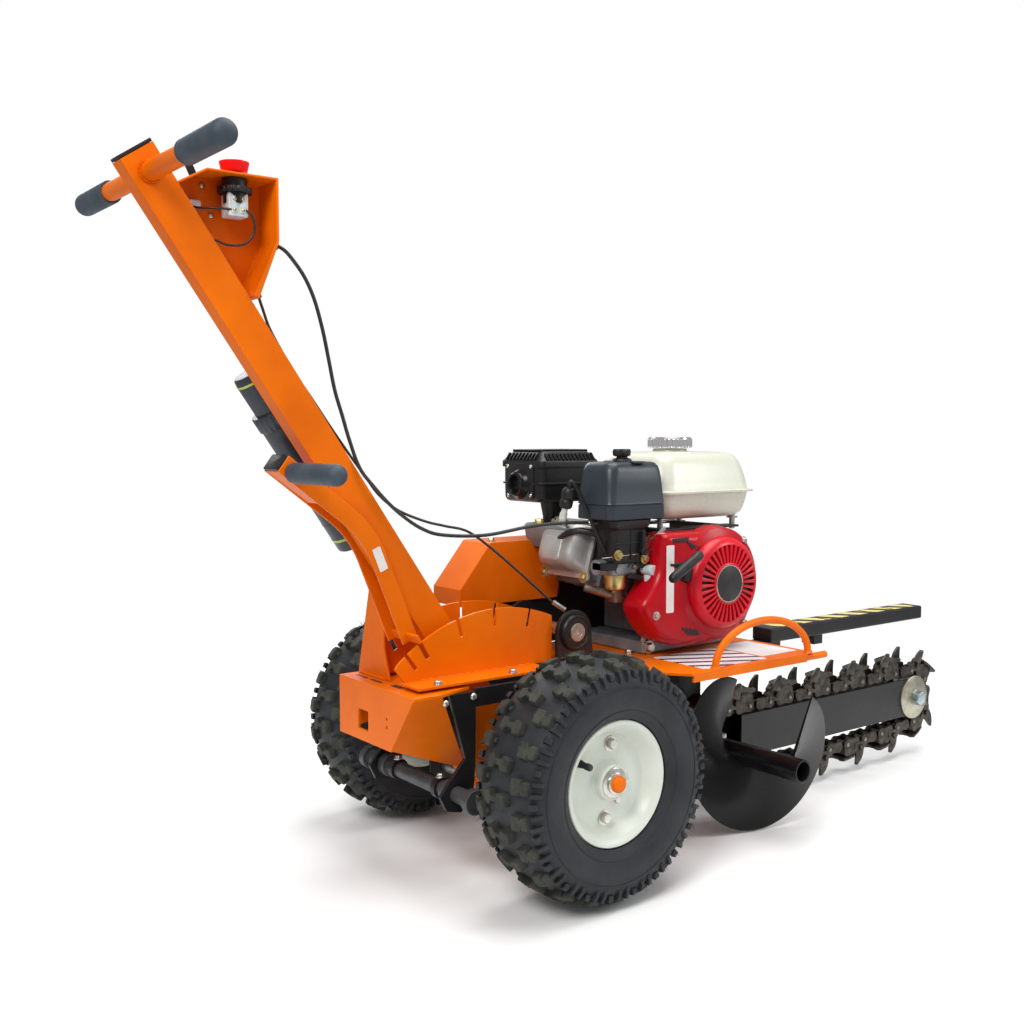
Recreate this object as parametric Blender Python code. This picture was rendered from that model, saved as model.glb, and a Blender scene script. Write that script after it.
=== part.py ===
"""Walk-behind chain trencher, modelled in metres with +X towards the digging boom, +Y to its left and +Z up.

Shapes are laid out with X zero over the wheel axles, Y on the centre plane and Z on the ground. The
whole machine hangs on one empty, which moves it so that the origin is the middle of its footprint.
Each moving body has an empty on its joint's axis, and the body's pieces are children of that empty.
"""

import math

import bmesh
import bpy
from mathutils import Matrix, Vector

# Distance from the wheel axles forward to the middle of the machine's length
MIDDLE_X = 0.2615

# Wheels
WHEEL_RADIUS = 0.1775
WHEEL_Y = 0.245
TYRE_HALF_WIDTH = 0.068
RIM_RADIUS = 0.089
RIM_HALF_WIDTH = 0.052
AXLE_RADIUS = 0.0125

# Chassis
PLATE_Y = 0.100
PLATE_THICK = 0.006
DECK_TOP = 0.296
SHEET = 0.004
DECK_REAR = 0.075
DECK_FRONT = 0.500
DECK_HALF_WIDTH = 0.240
TUB_REAR = -0.215
TUB_TOP = 0.292

# Mast and its lock
PIVOT = Vector((-0.021, 0.0, 0.118))
MAST_LEAN = math.radians(34.5)
MAST_OFFSET = 0.067
MAST_DEPTH = 0.050
MAST_WIDTH = 0.030
MAST_TOP = 1.039
HANDLEBAR_UP = 1.010
HANDLEBAR_HALF = 0.256
QUADRANT_RADIUS = 0.277
QUADRANT_Y = 0.045
SLOT_DEPTH = 0.028
LOCK_SLOT = 30.9
SLOTS = (36.7, LOCK_SLOT, 15.7, 1.4, -13.1)

# Drive line
CRANK = Vector((0.383, 0.0, 0.408))
CYLINDER_LEAN = math.radians(17.0)
JACKSHAFT = Vector((0.122, 0.0, 0.345))
HEAD_SHAFT = Vector((0.397, 0.0, 0.124))
RECOIL = Vector((0.262, -0.169, 0.450))
BELT_Y = 0.141
FINAL_CHAIN_Y = 0.115
CRANK_PULLEY = 0.040
JACK_PULLEY = 0.038
JACK_SPROCKET = 0.022
HEAD_SPROCKET = 0.050

# Digging boom and auger
BOOM_Y = -0.080
BOOM_HALF_WIDTH = 0.019
BAR_LOW, BAR_HIGH = 0.087, 0.163
BAR_REAR = 0.478
NOSE = Vector((1.000, BOOM_Y, 0.124))
CHAIN_HALF_WIDTH = 0.018
CHAIN_THICK = 0.018
CHAIN_SAG = 0.014
TOOTH_HEIGHT = 0.038
AUGER_RADIUS = 0.122
AUGER_TUBE = 0.019
AUGER_OUTER_Y, AUGER_INNER_Y = -0.275, -0.115
AUGER_START = math.radians(64.0)

GAP = 0.0005

PARTS = "trencher"
CUTTERS = "cutters"

PAINT = {
    "orange": ((0.90, 0.24, 0.01), 0.35, 0.0),
    "black": ((0.015, 0.015, 0.018), 0.45, 0.0),
    "rubber": ((0.030, 0.032, 0.036), 0.75, 0.0),
    "slate": ((0.045, 0.060, 0.080), 0.50, 0.0),
    "white": ((0.80, 0.80, 0.76), 0.40, 0.0),
    "cream": ((0.72, 0.70, 0.55), 0.35, 0.0),
    "red": ((0.62, 0.010, 0.020), 0.30, 0.0),
    "steel": ((0.45, 0.45, 0.45), 0.35, 1.0),
    "cast": ((0.55, 0.55, 0.54), 0.55, 0.8),
    "chain": ((0.075, 0.065, 0.055), 0.50, 0.8),
    "chrome": ((0.80, 0.80, 0.82), 0.12, 1.0),
}


# --- Scene, materials and bodies ---------------------------------------------------------------------


def clear_scene():
    for obj in list(bpy.data.objects):
        bpy.data.objects.remove(obj, do_unlink=True)


def collection(name):
    found = bpy.data.collections.get(name)
    if found is None:
        found = bpy.data.collections.new(name)
        bpy.context.scene.collection.children.link(found)
    return found


def material(name):
    found = bpy.data.materials.get(name)
    if found:
        return found
    colour, roughness, metallic = PAINT[name]
    made = bpy.data.materials.new(name)
    made.use_nodes = True
    shader = made.node_tree.nodes["Principled BSDF"]
    shader.inputs["Base Color"].default_value = (*colour, 1.0)
    shader.inputs["Roughness"].default_value = roughness
    shader.inputs["Metallic"].default_value = metallic
    return made


def machine():
    """The empty that the whole machine hangs on."""
    found = bpy.data.objects.get("machine")
    if found is None:
        found = bpy.data.objects.new("machine", None)
        collection(PARTS).objects.link(found)
    return found


def hang(obj, parent):
    obj.parent = parent or machine()
    obj.matrix_parent_inverse = obj.parent.matrix_world.inverted()


def body(name, point, parent=None):
    """An empty on a moving body's joint axis."""
    empty = bpy.data.objects.new(name, None)
    collection(PARTS).objects.link(empty)
    empty.matrix_world = Matrix.Translation(point)
    hang(empty, parent)
    bpy.context.view_layer.update()
    return empty


def part(name, mesh, paint, parent):
    """Names a mesh as a part, paints it and hangs it on its body."""
    obj = bpy.data.objects.new(name, mesh)
    collection(PARTS).objects.link(obj)
    mesh.materials.clear()
    mesh.materials.append(material(paint))
    hang(obj, parent)
    return obj


def join(target, mesh, operation="UNION"):
    """Adds a mesh to a part, or cuts it away, with an exact Boolean."""
    tool = bpy.data.objects.new(f"{target.name}_tool_{len(target.modifiers)}", mesh)
    collection(CUTTERS).objects.link(tool)
    tool.hide_render = True
    tool.display_type = "WIRE"
    hang(tool, None)
    boolean = target.modifiers.new(operation.title(), "BOOLEAN")
    boolean.operation = operation
    boolean.solver = "EXACT"
    boolean.object = tool
    return target


def cut(target, mesh):
    return join(target, mesh, "DIFFERENCE")


# --- Shapes, each returned as a mesh in world space --------------------------------------------------


def finished(bm, matrix=None):
    bmesh.ops.remove_doubles(bm, verts=bm.verts, dist=1e-6)
    if matrix is not None:
        bmesh.ops.transform(bm, matrix=matrix, verts=bm.verts)
    bmesh.ops.recalc_face_normals(bm, faces=bm.faces)
    mesh = bpy.data.meshes.new("shape")
    bm.to_mesh(mesh)
    bm.free()
    return mesh


def box(low, high, round_by=0.0, matrix=None, segments=2):
    """A box between two corners, with rounded edges where round_by is given."""
    low, high = Vector(low), Vector(high)
    bm = bmesh.new()
    bmesh.ops.create_cube(bm, size=1.0)
    bmesh.ops.scale(bm, vec=high - low, verts=bm.verts)
    bmesh.ops.translate(bm, vec=(low + high) / 2, verts=bm.verts)
    if round_by:
        bmesh.ops.bevel(bm, geom=bm.edges, offset=round_by, segments=segments, profile=0.5, affect="EDGES")
    return finished(bm, matrix)


def rod(start, end, radius, steps=16, end_radius=None):
    """A cylinder, or a cone where end_radius differs, between two points."""
    start, end = Vector(start), Vector(end)
    along = end - start
    far = radius if end_radius is None else end_radius
    bm = bmesh.new()
    depth = along.length
    bmesh.ops.create_cone(bm, cap_ends=True, segments=steps, radius1=radius, radius2=far, depth=depth)
    turn = along.to_track_quat("Z", "Y").to_matrix().to_4x4()
    return finished(bm, Matrix.Translation((start + end) / 2) @ turn)


def axle_rod(point, y_from, y_to, radius, steps=16):
    """A cylinder along Y through a point."""
    return rod((point.x, y_from, point.z), (point.x, y_to, point.z), radius, steps)


def turned(profile, point, steps=24, side=-1.0):
    """A body of revolution about Y. The closed profile holds (radius, distance) pairs, measured along side."""
    bm = bmesh.new()
    points = [bm.verts.new((radius, 0.0, distance)) for radius, distance in profile]
    edges = [bm.edges.new(pair) for pair in zip(points, points[1:] + points[:1])]
    geometry = points + edges
    bmesh.ops.spin(bm, geom=geometry, axis=(0, 0, 1), angle=math.tau, steps=steps, use_merge=True)
    turn = Matrix.Rotation(math.radians(90.0) * -side, 4, "X")
    return finished(bm, Matrix.Translation(point) @ turn)


PLANES = {
    "xz": Matrix(((1, 0, 0, 0), (0, 0, -1, 0), (0, 1, 0, 0), (0, 0, 0, 1))),
    "xy": Matrix.Identity(4),
    "yz": Matrix(((0, 0, 1, 0), (1, 0, 0, 0), (0, 1, 0, 0), (0, 0, 0, 1))),
}


def add_loop(curve, points):
    spline = curve.splines.new("POLY")
    spline.points.add(len(points) - 1)
    for target, (u, v) in zip(spline.points, points):
        target.co = (u, v, 0.0, 1.0)
    spline.use_cyclic_u = True


def curve_mesh(curve, matrix=None):
    holder = bpy.data.objects.new("curve", curve)
    mesh = bpy.data.meshes.new_from_object(holder)
    bpy.data.objects.remove(holder)
    bm = bmesh.new()
    bm.from_mesh(mesh)
    return finished(bm, matrix)


def plate(outline, plane, centre, thickness, holes=(), matrix=None):
    """A flat sheet cut to an outline in a plane, with holes, centred at a distance along its normal axis."""
    curve = bpy.data.curves.new("outline", "CURVE")
    curve.dimensions = "2D"
    curve.fill_mode = "BOTH"
    curve.extrude = thickness / 2
    for loop in (outline, *holes):
        add_loop(curve, loop)
    offset = {"xz": (0, centre, 0), "xy": (0, 0, centre), "yz": (centre, 0, 0)}[plane]
    place = Matrix.Translation(offset) @ PLANES[plane]
    return curve_mesh(curve, place if matrix is None else matrix @ place)


def pipe(points, radius):
    """A round bar or cable along a route, with closed ends."""
    curve = bpy.data.curves.new("route", "CURVE")
    curve.dimensions = "3D"
    curve.bevel_depth = radius
    curve.bevel_resolution = 2
    curve.use_fill_caps = True
    spline = curve.splines.new("POLY")
    spline.points.add(len(points) - 1)
    for target, point in zip(spline.points, points):
        target.co = (*point, 1.0)
    return curve_mesh(curve)


def circle(u, v, radius, steps=16):
    angles = [math.tau * step / steps for step in range(steps)]
    return [(u + radius * math.cos(angle), v + radius * math.sin(angle)) for angle in angles]


def arc(u, v, radius, start, end, steps):
    angles = [math.radians(start + (end - start) * step / steps) for step in range(steps + 1)]
    return [(u + radius * math.cos(angle), v + radius * math.sin(angle)) for angle in angles]


def bar_outline(points, width):
    """The outline of a flat bar of a width that follows a bent centre line."""
    left, right = [], []
    for index, point in enumerate(points):
        before = points[max(index - 1, 0)]
        after = points[min(index + 1, len(points) - 1)]
        normals = []
        for start, end in ((before, point), (point, after)):
            step = Vector((end[0] - start[0], end[1] - start[1]))
            if step.length > 0:
                normals.append(Vector((-step.y, step.x)).normalized())
        mitre = sum(normals, Vector((0, 0))).normalized()
        reach = width / 2 / mitre.dot(normals[0])
        left.append((point[0] + mitre.x * reach, point[1] + mitre.y * reach))
        right.append((point[0] - mitre.x * reach, point[1] - mitre.y * reach))
    return left + right[::-1]


def loop_round(one, one_radius, two, two_radius, steps=12):
    """The outline of a belt or chain round two wheels, as (x, z) points. The first wheel is the rear one."""
    span = Vector((two.x - one.x, two.z - one.z))
    heading = math.degrees(math.atan2(span.y, span.x))
    lean = math.degrees(math.asin((one_radius - two_radius) / span.length))
    top, bottom = heading + 90 - lean, heading - 90 + lean
    front = arc(two.x, two.z, two_radius, bottom, top, steps)
    rear = arc(one.x, one.z, one_radius, top, bottom + 360, steps)
    return front + rear


def belt(one, one_radius, two, two_radius, thickness, y, width):
    outer = loop_round(one, one_radius + thickness, two, two_radius + thickness)
    inner = loop_round(one, one_radius, two, two_radius)
    return plate(outer, "xz", y, width, holes=(inner,))


def mast_matrix():
    """Places mast coordinates: X across the mast to its front, Y left, Z up along it, from the pivot."""
    return Matrix.Translation(PIVOT) @ Matrix.Rotation(-MAST_LEAN, 4, "Y")


def on_mast(across, y, up):
    return mast_matrix() @ Vector((MAST_OFFSET + across, y, up))


# --- Chassis -----------------------------------------------------------------------------------------


def frame_plate(name, side):
    outline = [(-0.150, 0.287), (-0.122, 0.190), (-0.150, 0.160), (-0.166, 0.140), (-0.155, 0.118), (-0.130, 0.112)]
    outline += [(-0.108, 0.130), (-0.104, 0.180), (-0.103, 0.264), (-0.050, 0.264), (-0.052, 0.110), (-0.030, 0.095)]
    outline += [(0.010, 0.095), (0.060, 0.130), (0.200, 0.150), (0.262, 0.215), (0.262, 0.2915), (-0.104, 0.2915)]
    outline += [(-0.104, 0.287)]
    holes = (
        circle(-0.137, 0.140, 0.0130),
        circle(PIVOT.x, PIVOT.z, 0.0125),
    )
    mesh = plate(outline, "xz", side * PLATE_Y, PLATE_THICK, holes)
    return part(name, mesh, "black", None)


def rear_tub():
    """Bent sheet under the quadrants: top, rear face with a square socket and two pin holes, and two side walls."""
    rear = [(0.103, TUB_TOP), (-0.112, TUB_TOP), (-0.048, 0.203), (0.0985, 0.203)]
    socket = [(0.016, 0.220), (0.046, 0.220), (0.046, 0.250), (0.016, 0.250)]
    pin_holes = [circle(-0.037, z, 0.0028) for z in (0.2370, 0.2490)]
    tub = part("rear_tub", plate(rear, "yz", TUB_REAR + SHEET / 2, SHEET, (socket, *pin_holes)), "orange", None)
    top = [(TUB_REAR, -0.112), (TUB_REAR, 0.103), (-0.106, 0.103), (-0.106, -0.090), (-0.168, -0.112)]
    join(tub, plate(top, "xy", TUB_TOP - SHEET / 2, SHEET))
    left = [(TUB_REAR, TUB_TOP), (-0.156, TUB_TOP), (-0.148, 0.215), (TUB_REAR, 0.203)]
    join(tub, plate(left, "xz", 0.103 - SHEET / 2, SHEET))
    join(tub, slanted_side())
    return tub


def slanted_side():
    """The tub's right wall, which leans inwards towards its lower edge."""
    top_rear = Vector((TUB_REAR + 0.001, -0.111, TUB_TOP - 0.001))
    low_rear = Vector((TUB_REAR + 0.001, -0.048, 0.204))
    low_front = Vector((-0.084, -0.048, 0.156))
    top_front = Vector((-0.168, -0.111, TUB_TOP - 0.001))
    across = (low_rear - top_rear).normalized()
    normal = Vector((1, 0, 0)).cross(across).normalized()
    bm = bmesh.new()
    corners = [bm.verts.new(point) for point in (top_rear, low_rear, low_front, top_front)]
    face = bm.faces.new(corners)
    grown = bmesh.ops.extrude_face_region(bm, geom=[face])["geom"]
    moved = [item for item in grown if isinstance(item, bmesh.types.BMVert)]
    inward = normal if normal.y > 0 else -normal
    bmesh.ops.translate(bm, vec=inward * SHEET, verts=moved)
    return finished(bm)


def quadrant_outline(slots, rear):
    """A sector edge with radial lock slots, cut off square at the front and by its rear corner points."""

    def edge(degrees, radius):
        angle = math.radians(90.0 + degrees)
        return (PIVOT.x + radius * math.cos(angle), PIVOT.z + radius * math.sin(angle))

    points = [(0.085, 0.300), (0.085, 0.374)]
    degrees = -22.0
    for slot in sorted(slots):
        half = math.degrees((0.004 if slot == LOCK_SLOT else 0.003) / QUADRANT_RADIUS)
        while degrees < slot - half - 1.5:
            points.append(edge(degrees, QUADRANT_RADIUS))
            degrees += 4.0
        inner = half * QUADRANT_RADIUS / (QUADRANT_RADIUS - SLOT_DEPTH)
        points += [edge(slot - half, QUADRANT_RADIUS), edge(slot - inner, QUADRANT_RADIUS - SLOT_DEPTH)]
        points += [edge(slot + inner, QUADRANT_RADIUS - SLOT_DEPTH), edge(slot + half, QUADRANT_RADIUS)]
        degrees = slot + half + 3.0
    return points + rear


def quadrant_plate(name, side):
    """A lock sector with its foot flange turned outwards over the frame. The left one ends at the upright."""
    slots, rear, foot = SLOTS, [(-0.2009, 0.3286), (-0.206, 0.322), (-0.190, 0.300)], -0.195
    if side > 0:
        slots, rear, foot = SLOTS[1:], [(-0.1720, 0.3505), (-0.1750, 0.340), (-0.1700, 0.300)], -0.1750
    sector = plate(quadrant_outline(slots, rear), "xz", side * QUADRANT_Y, SHEET)
    quadrant = part(name, sector, "orange", None)
    low, high = sorted((side * (QUADRANT_Y - SHEET / 2), side * 0.092))
    join(quadrant, box((foot, low, 0.2965), (0.050, high, 0.3005)))
    return quadrant


def rear_upright():
    """Tapered plate that stands on the tub across the frame, beside the mast's rearmost place."""
    outline = [(0.009, TUB_TOP + GAP), (0.102, TUB_TOP + GAP), (0.059, 0.462), (0.0435, 0.462), (0.0250, 0.400)]
    return part("rear_upright", plate([*outline, (0.0250, 0.340)], "yz", -0.1805, SHEET), "orange", None)


def belly_panel():
    outline = [(-0.100, 0.270), (0.055, 0.270), (0.055, 0.140), (0.020, 0.105), (-0.060, 0.105), (-0.100, 0.190)]
    hole = circle(PIVOT.x, PIVOT.z, 0.0132)
    return part("belly_panel", plate(outline, "xz", -0.070, SHEET, (hole,)), "orange", None)


def engine_deck():
    half, corner = DECK_HALF_WIDTH, 0.168
    outline = [(DECK_REAR, -0.105), (DECK_REAR, -0.035), (0.109, -0.035), (0.109, 0.035), (DECK_REAR, 0.035)]
    outline += [(DECK_REAR, 0.150), (0.150, corner), (0.205, half), (DECK_FRONT - 0.02, half)]
    outline += [(DECK_FRONT, half - 0.02), (DECK_FRONT, -half + 0.02), (DECK_FRONT - 0.02, -half)]
    outline += [(0.205, -half), (0.150, -corner)]
    slot = [(0.110, 0.104), (0.330, 0.104), (0.330, 0.126), (0.110, 0.126)]
    deck = part("engine_deck", plate(outline, "xy", DECK_TOP - SHEET / 2, SHEET, (slot,)), "orange", None)
    for side in (-1, 1):
        low, high = sorted((side * half, side * (half - SHEET)))
        join(deck, box((0.208, low, DECK_TOP - 0.014), (DECK_FRONT - 0.022, high, DECK_TOP - 0.002)))
    join(deck, rod((0.470, -0.232, 0.2875), (0.535, -0.232, 0.2875), 0.006, 12))
    return deck


def deck_hoop():
    """Round-bar guard hoop on the deck's right edge, half an ellipse tall."""
    centre, half, height = 0.3765, 0.1125, 0.064
    route = []
    for step in range(17):
        angle = math.pi * step / 16
        route.append((centre - half * math.cos(angle), -0.232, DECK_TOP + 0.001 + height * math.sin(angle)))
    return part("deck_hoop", pipe(route, 0.006), "orange", None)


def stub_axle(name, side):
    point = Vector((0, 0, WHEEL_RADIUS))
    start, flange, end = (side * value for value in (PLATE_Y + 0.0035, PLATE_Y + 0.0105, WHEEL_Y + 0.044))
    axle = part(name, axle_rod(point, start, flange, 0.032, 24), "steel", None)
    return join(axle, axle_rod(point, flange - side * 0.001, end, AXLE_RADIUS, 24))


def cross_tube():
    """Grey tube across the rear of the frame, in black collars."""
    point = Vector((-0.137, 0.0, 0.140))
    tube = part("cross_tube", axle_rod(point, -0.148, 0.148, 0.0122, 14), "cast", None)
    for side in (-1, 1):
        for near, far, radius in ((0.078, 0.0955, 0.0175), (0.138, 0.152, 0.0185)):
            join(tube, axle_rod(point, side * near, side * far, radius, 14))
    return tube


def pivot_pin():
    pin = part("mast_pivot_pin", axle_rod(PIVOT, -0.1045, 0.1045, 0.0120, 20), "steel", None)
    for side in (-1, 1):
        join(pin, axle_rod(PIVOT, side * 0.1038, side * 0.112, 0.019, 6))
    return pin


# --- Belt and chain drive ----------------------------------------------------------------------------


def belt_cover():
    """Folded sheet cover over the belt, open below and, beside the engine, on its right."""
    outline = [(0.0, 0.378), (0.0, 0.406), (0.062, 0.481), (0.420, 0.481), (0.460, 0.440), (0.460, 0.378)]
    inner = [(0.003, 0.370), (0.003, 0.405), (0.0635, 0.478), (0.4185, 0.478), (0.457, 0.439), (0.457, 0.370)]
    near, far = 0.087, 0.167
    cover = part("belt_cover", plate(outline, "xz", (near + far) / 2, far - near), "orange", None)
    cut(cover, plate(inner, "xz", (near + far) / 2, far - near - 0.006))
    window = [(0.190, 0.300), (0.210, 0.395), (0.210, 0.478), (0.4185, 0.478), (0.457, 0.439), (0.457, 0.300)]
    cut(cover, plate(window, "xz", near, 0.010))
    return cover


def bearing(name, y, thick, height):
    """Upright bearing plate with a round head, bored for the jackshaft."""
    head = arc(JACKSHAFT.x, JACKSHAFT.z, 0.0355, 0, 180, 12)
    outline = [(JACKSHAFT.x + 0.040, DECK_TOP + GAP), *head, (JACKSHAFT.x - 0.0355, DECK_TOP + GAP)]
    bore = circle(JACKSHAFT.x, JACKSHAFT.z, 0.0105)
    plate_mesh = plate(outline, "xz", y, thick, (bore,))
    block = part(name, plate_mesh, "black", None)
    ring = [(0.0105, 0.0), (0.0225, 0.0), (0.0225, height), (0.0105, height)]
    side = -1.0 if y < 0 else 1.0
    start = Vector((JACKSHAFT.x, y + side * (thick / 2 - 0.001), JACKSHAFT.z))
    return join(block, turned(ring, start, 16, side))


def final_drive_chain():
    mesh = belt(JACKSHAFT, JACK_SPROCKET + GAP, HEAD_SHAFT, HEAD_SPROCKET + GAP, 0.008, FINAL_CHAIN_Y, 0.009)
    return part("final_drive_chain", mesh, "chain", None)


def drive_belt():
    mesh = belt(JACKSHAFT, JACK_PULLEY + GAP, CRANK, CRANK_PULLEY + GAP, 0.0065, BELT_Y, 0.013)
    return part("drive_belt", mesh, "rubber", None)


def jackshaft(parent):
    shaft = part("jackshaft", axle_rod(JACKSHAFT, -0.0665, 0.160, 0.010, 20), "steel", parent)
    join(shaft, axle_rod(JACKSHAFT, FINAL_CHAIN_Y - 0.003, FINAL_CHAIN_Y + 0.003, JACK_SPROCKET, 20))
    return join(shaft, axle_rod(JACKSHAFT, BELT_Y - 0.009, BELT_Y + 0.009, JACK_PULLEY, 32))


def boom_carrier():
    """Bearing housing of the head shaft, its post up to the deck and the arm that holds the boom bar."""
    ring = circle(HEAD_SHAFT.x, HEAD_SHAFT.z, 0.0170)
    housing = plate(circle(HEAD_SHAFT.x, HEAD_SHAFT.z, 0.032, 28), "xz", 0.022, 0.144, (ring,))
    carrier = part("boom_carrier", housing, "black", None)
    arm = [(0.360, 0.095), (0.425, 0.095), (0.620, 0.098), (0.620, 0.152), (0.425, 0.155), (0.360, 0.155)]
    join(carrier, plate(arm, "xz", -0.0545, 0.012, (ring,)))
    join(carrier, box((0.370, -0.050, 0.152), (0.424, 0.092, 0.2915)))
    join(carrier, box((0.250, -0.050, 0.255), (0.470, 0.0965, 0.2915)))
    cut(carrier, box((0.255, -0.044, 0.250), (0.465, 0.090, 0.2855)))
    join(carrier, box((0.374, -0.046, 0.154), (0.420, 0.088, 0.288)))
    return carrier


# --- Boom, chain and auger ---------------------------------------------------------------------------


def boom_bar():
    """Rectangular tube with a forked, rounded nose."""
    low, high = BOOM_Y - BOOM_HALF_WIDTH, BOOM_Y + BOOM_HALF_WIDTH
    nose = arc(NOSE.x, NOSE.z, 0.0375, -90, 90, 14)
    outline = [(BAR_REAR, BAR_LOW), (0.950, BAR_LOW), *nose, (0.950, BAR_HIGH), (BAR_REAR, BAR_HIGH)]
    bolt_hole = circle(NOSE.x, NOSE.z, 0.0086)
    bar = part("boom_bar", plate(outline, "xz", BOOM_Y, high - low, (bolt_hole,)), "black", None)
    cut(bar, box((0.930, BOOM_Y - 0.0145, 0.060), (1.060, BOOM_Y + 0.0145, 0.190)))
    cut(bar, box((BAR_REAR - 0.01, low + 0.004, BAR_LOW + 0.004), (0.935, high - 0.004, BAR_HIGH - 0.004)))
    return bar


def nose_bolt():
    bolt = part("nose_bolt", axle_rod(NOSE, -0.1125, -0.0515, 0.0080, 18), "steel", None)
    join(bolt, axle_rod(NOSE, -0.1035, -0.0996, 0.044, 32))
    join(bolt, axle_rod(NOSE, -0.1120, -0.1030, 0.0150, 6))
    return join(bolt, axle_rod(NOSE, -0.0604, -0.0520, 0.0150, 6))


def nose_roller(parent):
    profile = [(0.0086, -0.0135), (0.0400, -0.0135), (0.0400, 0.0135), (0.0086, 0.0135)]
    return part("nose_roller", turned(profile, NOSE, 28), "steel", parent)


def chain_route(outset, steps=14):
    """Points (x, z) of the digging chain's loop at a distance from its inner edge, sagging below the bar."""
    rear, front = 0.0425 + outset, 0.0455 + outset
    nose = arc(NOSE.x, NOSE.z, front, -90, 90, 12)
    sprocket = arc(HEAD_SHAFT.x, HEAD_SHAFT.z, rear, 90, 270, 12)
    span = NOSE.x - HEAD_SHAFT.x
    run = []
    for step in range(1, steps):
        share = step / steps
        droop = CHAIN_SAG * 4 * share * (1 - share)
        height = HEAD_SHAFT.z - rear + (rear - front) * share - droop
        run.append((HEAD_SHAFT.x + span * share, height))
    return nose + sprocket + run


def toothed(route, every=3):
    """Raises a cutting tooth on the outside of the chain outline at every few points."""
    points = []
    count = len(route)
    for index, (x, z) in enumerate(route):
        points.append((x, z))
        if index % every:
            continue
        after = Vector(route[(index + 1) % count])
        along = (after - Vector((x, z))).normalized()
        out = Vector((along.y, -along.x)) * TOOTH_HEIGHT
        base = Vector((x, z)) + along * 0.004
        tip = base + out
        points += [(base.x, base.y), (tip.x, tip.y), (tip.x + along.x * 0.010, tip.y + along.y * 0.010)]
        foot = base + along * 0.014
        points.append((foot.x, foot.y))
    return points


def evened(route, spacing):
    """The same closed route with points at an even spacing."""
    points = [Vector(point) for point in route]
    lengths = [(points[(i + 1) % len(points)] - point).length for i, point in enumerate(points)]
    count = round(sum(lengths) / spacing)
    result, target, walked, index = [], 0.0, 0.0, 0
    for _ in range(count):
        while walked + lengths[index] < target:
            walked += lengths[index]
            index += 1
        share = (target - walked) / lengths[index]
        spot = points[index].lerp(points[(index + 1) % len(points)], share)
        result.append((spot.x, spot.y))
        target += sum(lengths) / count
    return result


def digging_chain():
    outer = toothed(evened(chain_route(CHAIN_THICK), 0.030), every=3)
    inner = chain_route(0.0)
    mesh = plate(outer, "xz", BOOM_Y, CHAIN_HALF_WIDTH * 2, (inner,))
    return part("digging_chain", mesh, "chain", None)


def flight():
    """One turn of helical auger blade, swept as a radial strip along the shaft and given its thickness."""
    bm = bmesh.new()
    steps = 28
    inner = [(AUGER_TUBE - 0.003), AUGER_RADIUS]
    first = []
    for radius in inner:
        first.append(bm.verts.new((radius * math.cos(AUGER_START), AUGER_OUTER_Y, radius * math.sin(AUGER_START))))
    edge = bm.edges.new(first)
    pitch = AUGER_INNER_Y - AUGER_OUTER_Y
    rise = (0, pitch / steps, 0)
    bmesh.ops.spin(bm, geom=[*first, edge], axis=(0, 1, 0), angle=math.tau * 0.998, steps=steps, dvec=rise)
    thick = bmesh.ops.extrude_face_region(bm, geom=bm.faces[:])["geom"]
    moved = [item for item in thick if isinstance(item, bmesh.types.BMVert)]
    bmesh.ops.translate(bm, vec=(0, 0.005, 0), verts=moved)
    return finished(bm, Matrix.Translation((HEAD_SHAFT.x, 0, HEAD_SHAFT.z)))


def auger(parent):
    """Side auger: an open tube with one turn of flight, on the shaft that drives the chain."""
    mesh = axle_rod(HEAD_SHAFT, -0.300, -0.104, AUGER_TUBE, 24)
    blade = part("auger", mesh, "black", parent)
    join(blade, flight())
    cut(blade, axle_rod(HEAD_SHAFT, -0.310, -0.120, 0.0150, 20))
    join(blade, axle_rod(HEAD_SHAFT, -0.110, 0.128, 0.0160, 20))
    return join(blade, plate(toothed_wheel(HEAD_SPROCKET, 0.004, 20), "xz", FINAL_CHAIN_Y, 0.006))


def toothed_wheel(radius, depth, teeth):
    """The outline of a chain wheel on the head shaft."""
    points = []
    for tooth in range(teeth):
        for share, reach in ((0.0, radius - depth), (0.30, radius - depth), (0.45, radius), (0.85, radius)):
            angle = math.tau * (tooth + share) / teeth
            points.append((HEAD_SHAFT.x + reach * math.cos(angle), HEAD_SHAFT.z + reach * math.sin(angle)))
    return points


def digging_sprocket(parent):
    outline = toothed_wheel(0.0415, 0.008, 8)
    bore = circle(HEAD_SHAFT.x, HEAD_SHAFT.z, 0.0164)
    return part("digging_sprocket", plate(outline, "xz", BOOM_Y, 0.014, (bore,)), "steel", parent)


def safety_bar():
    """Guard bar over the chain, with the bracket and foot welded under it."""
    rail = box((0.530, -0.120, 0.2905), (0.992, -0.075, 0.3160), 0.002, segments=1)
    bar = part("safety_bar", rail, "black", None)
    join(bar, box((0.5005, -0.116, 0.268), (0.560, -0.079, 0.2915)))
    return join(bar, box((0.660, -0.112, 0.2720), (0.685, -0.083, 0.2915)))


# --- Engine ------------------------------------------------------------------------------------------


def cylinder_matrix():
    """Places cylinder coordinates: Z out along the bore, towards the rear and up, from the crank."""
    return Matrix.Translation(CRANK) @ Matrix.Rotation(CYLINDER_LEAN - math.radians(90.0), 4, "Y")


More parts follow.
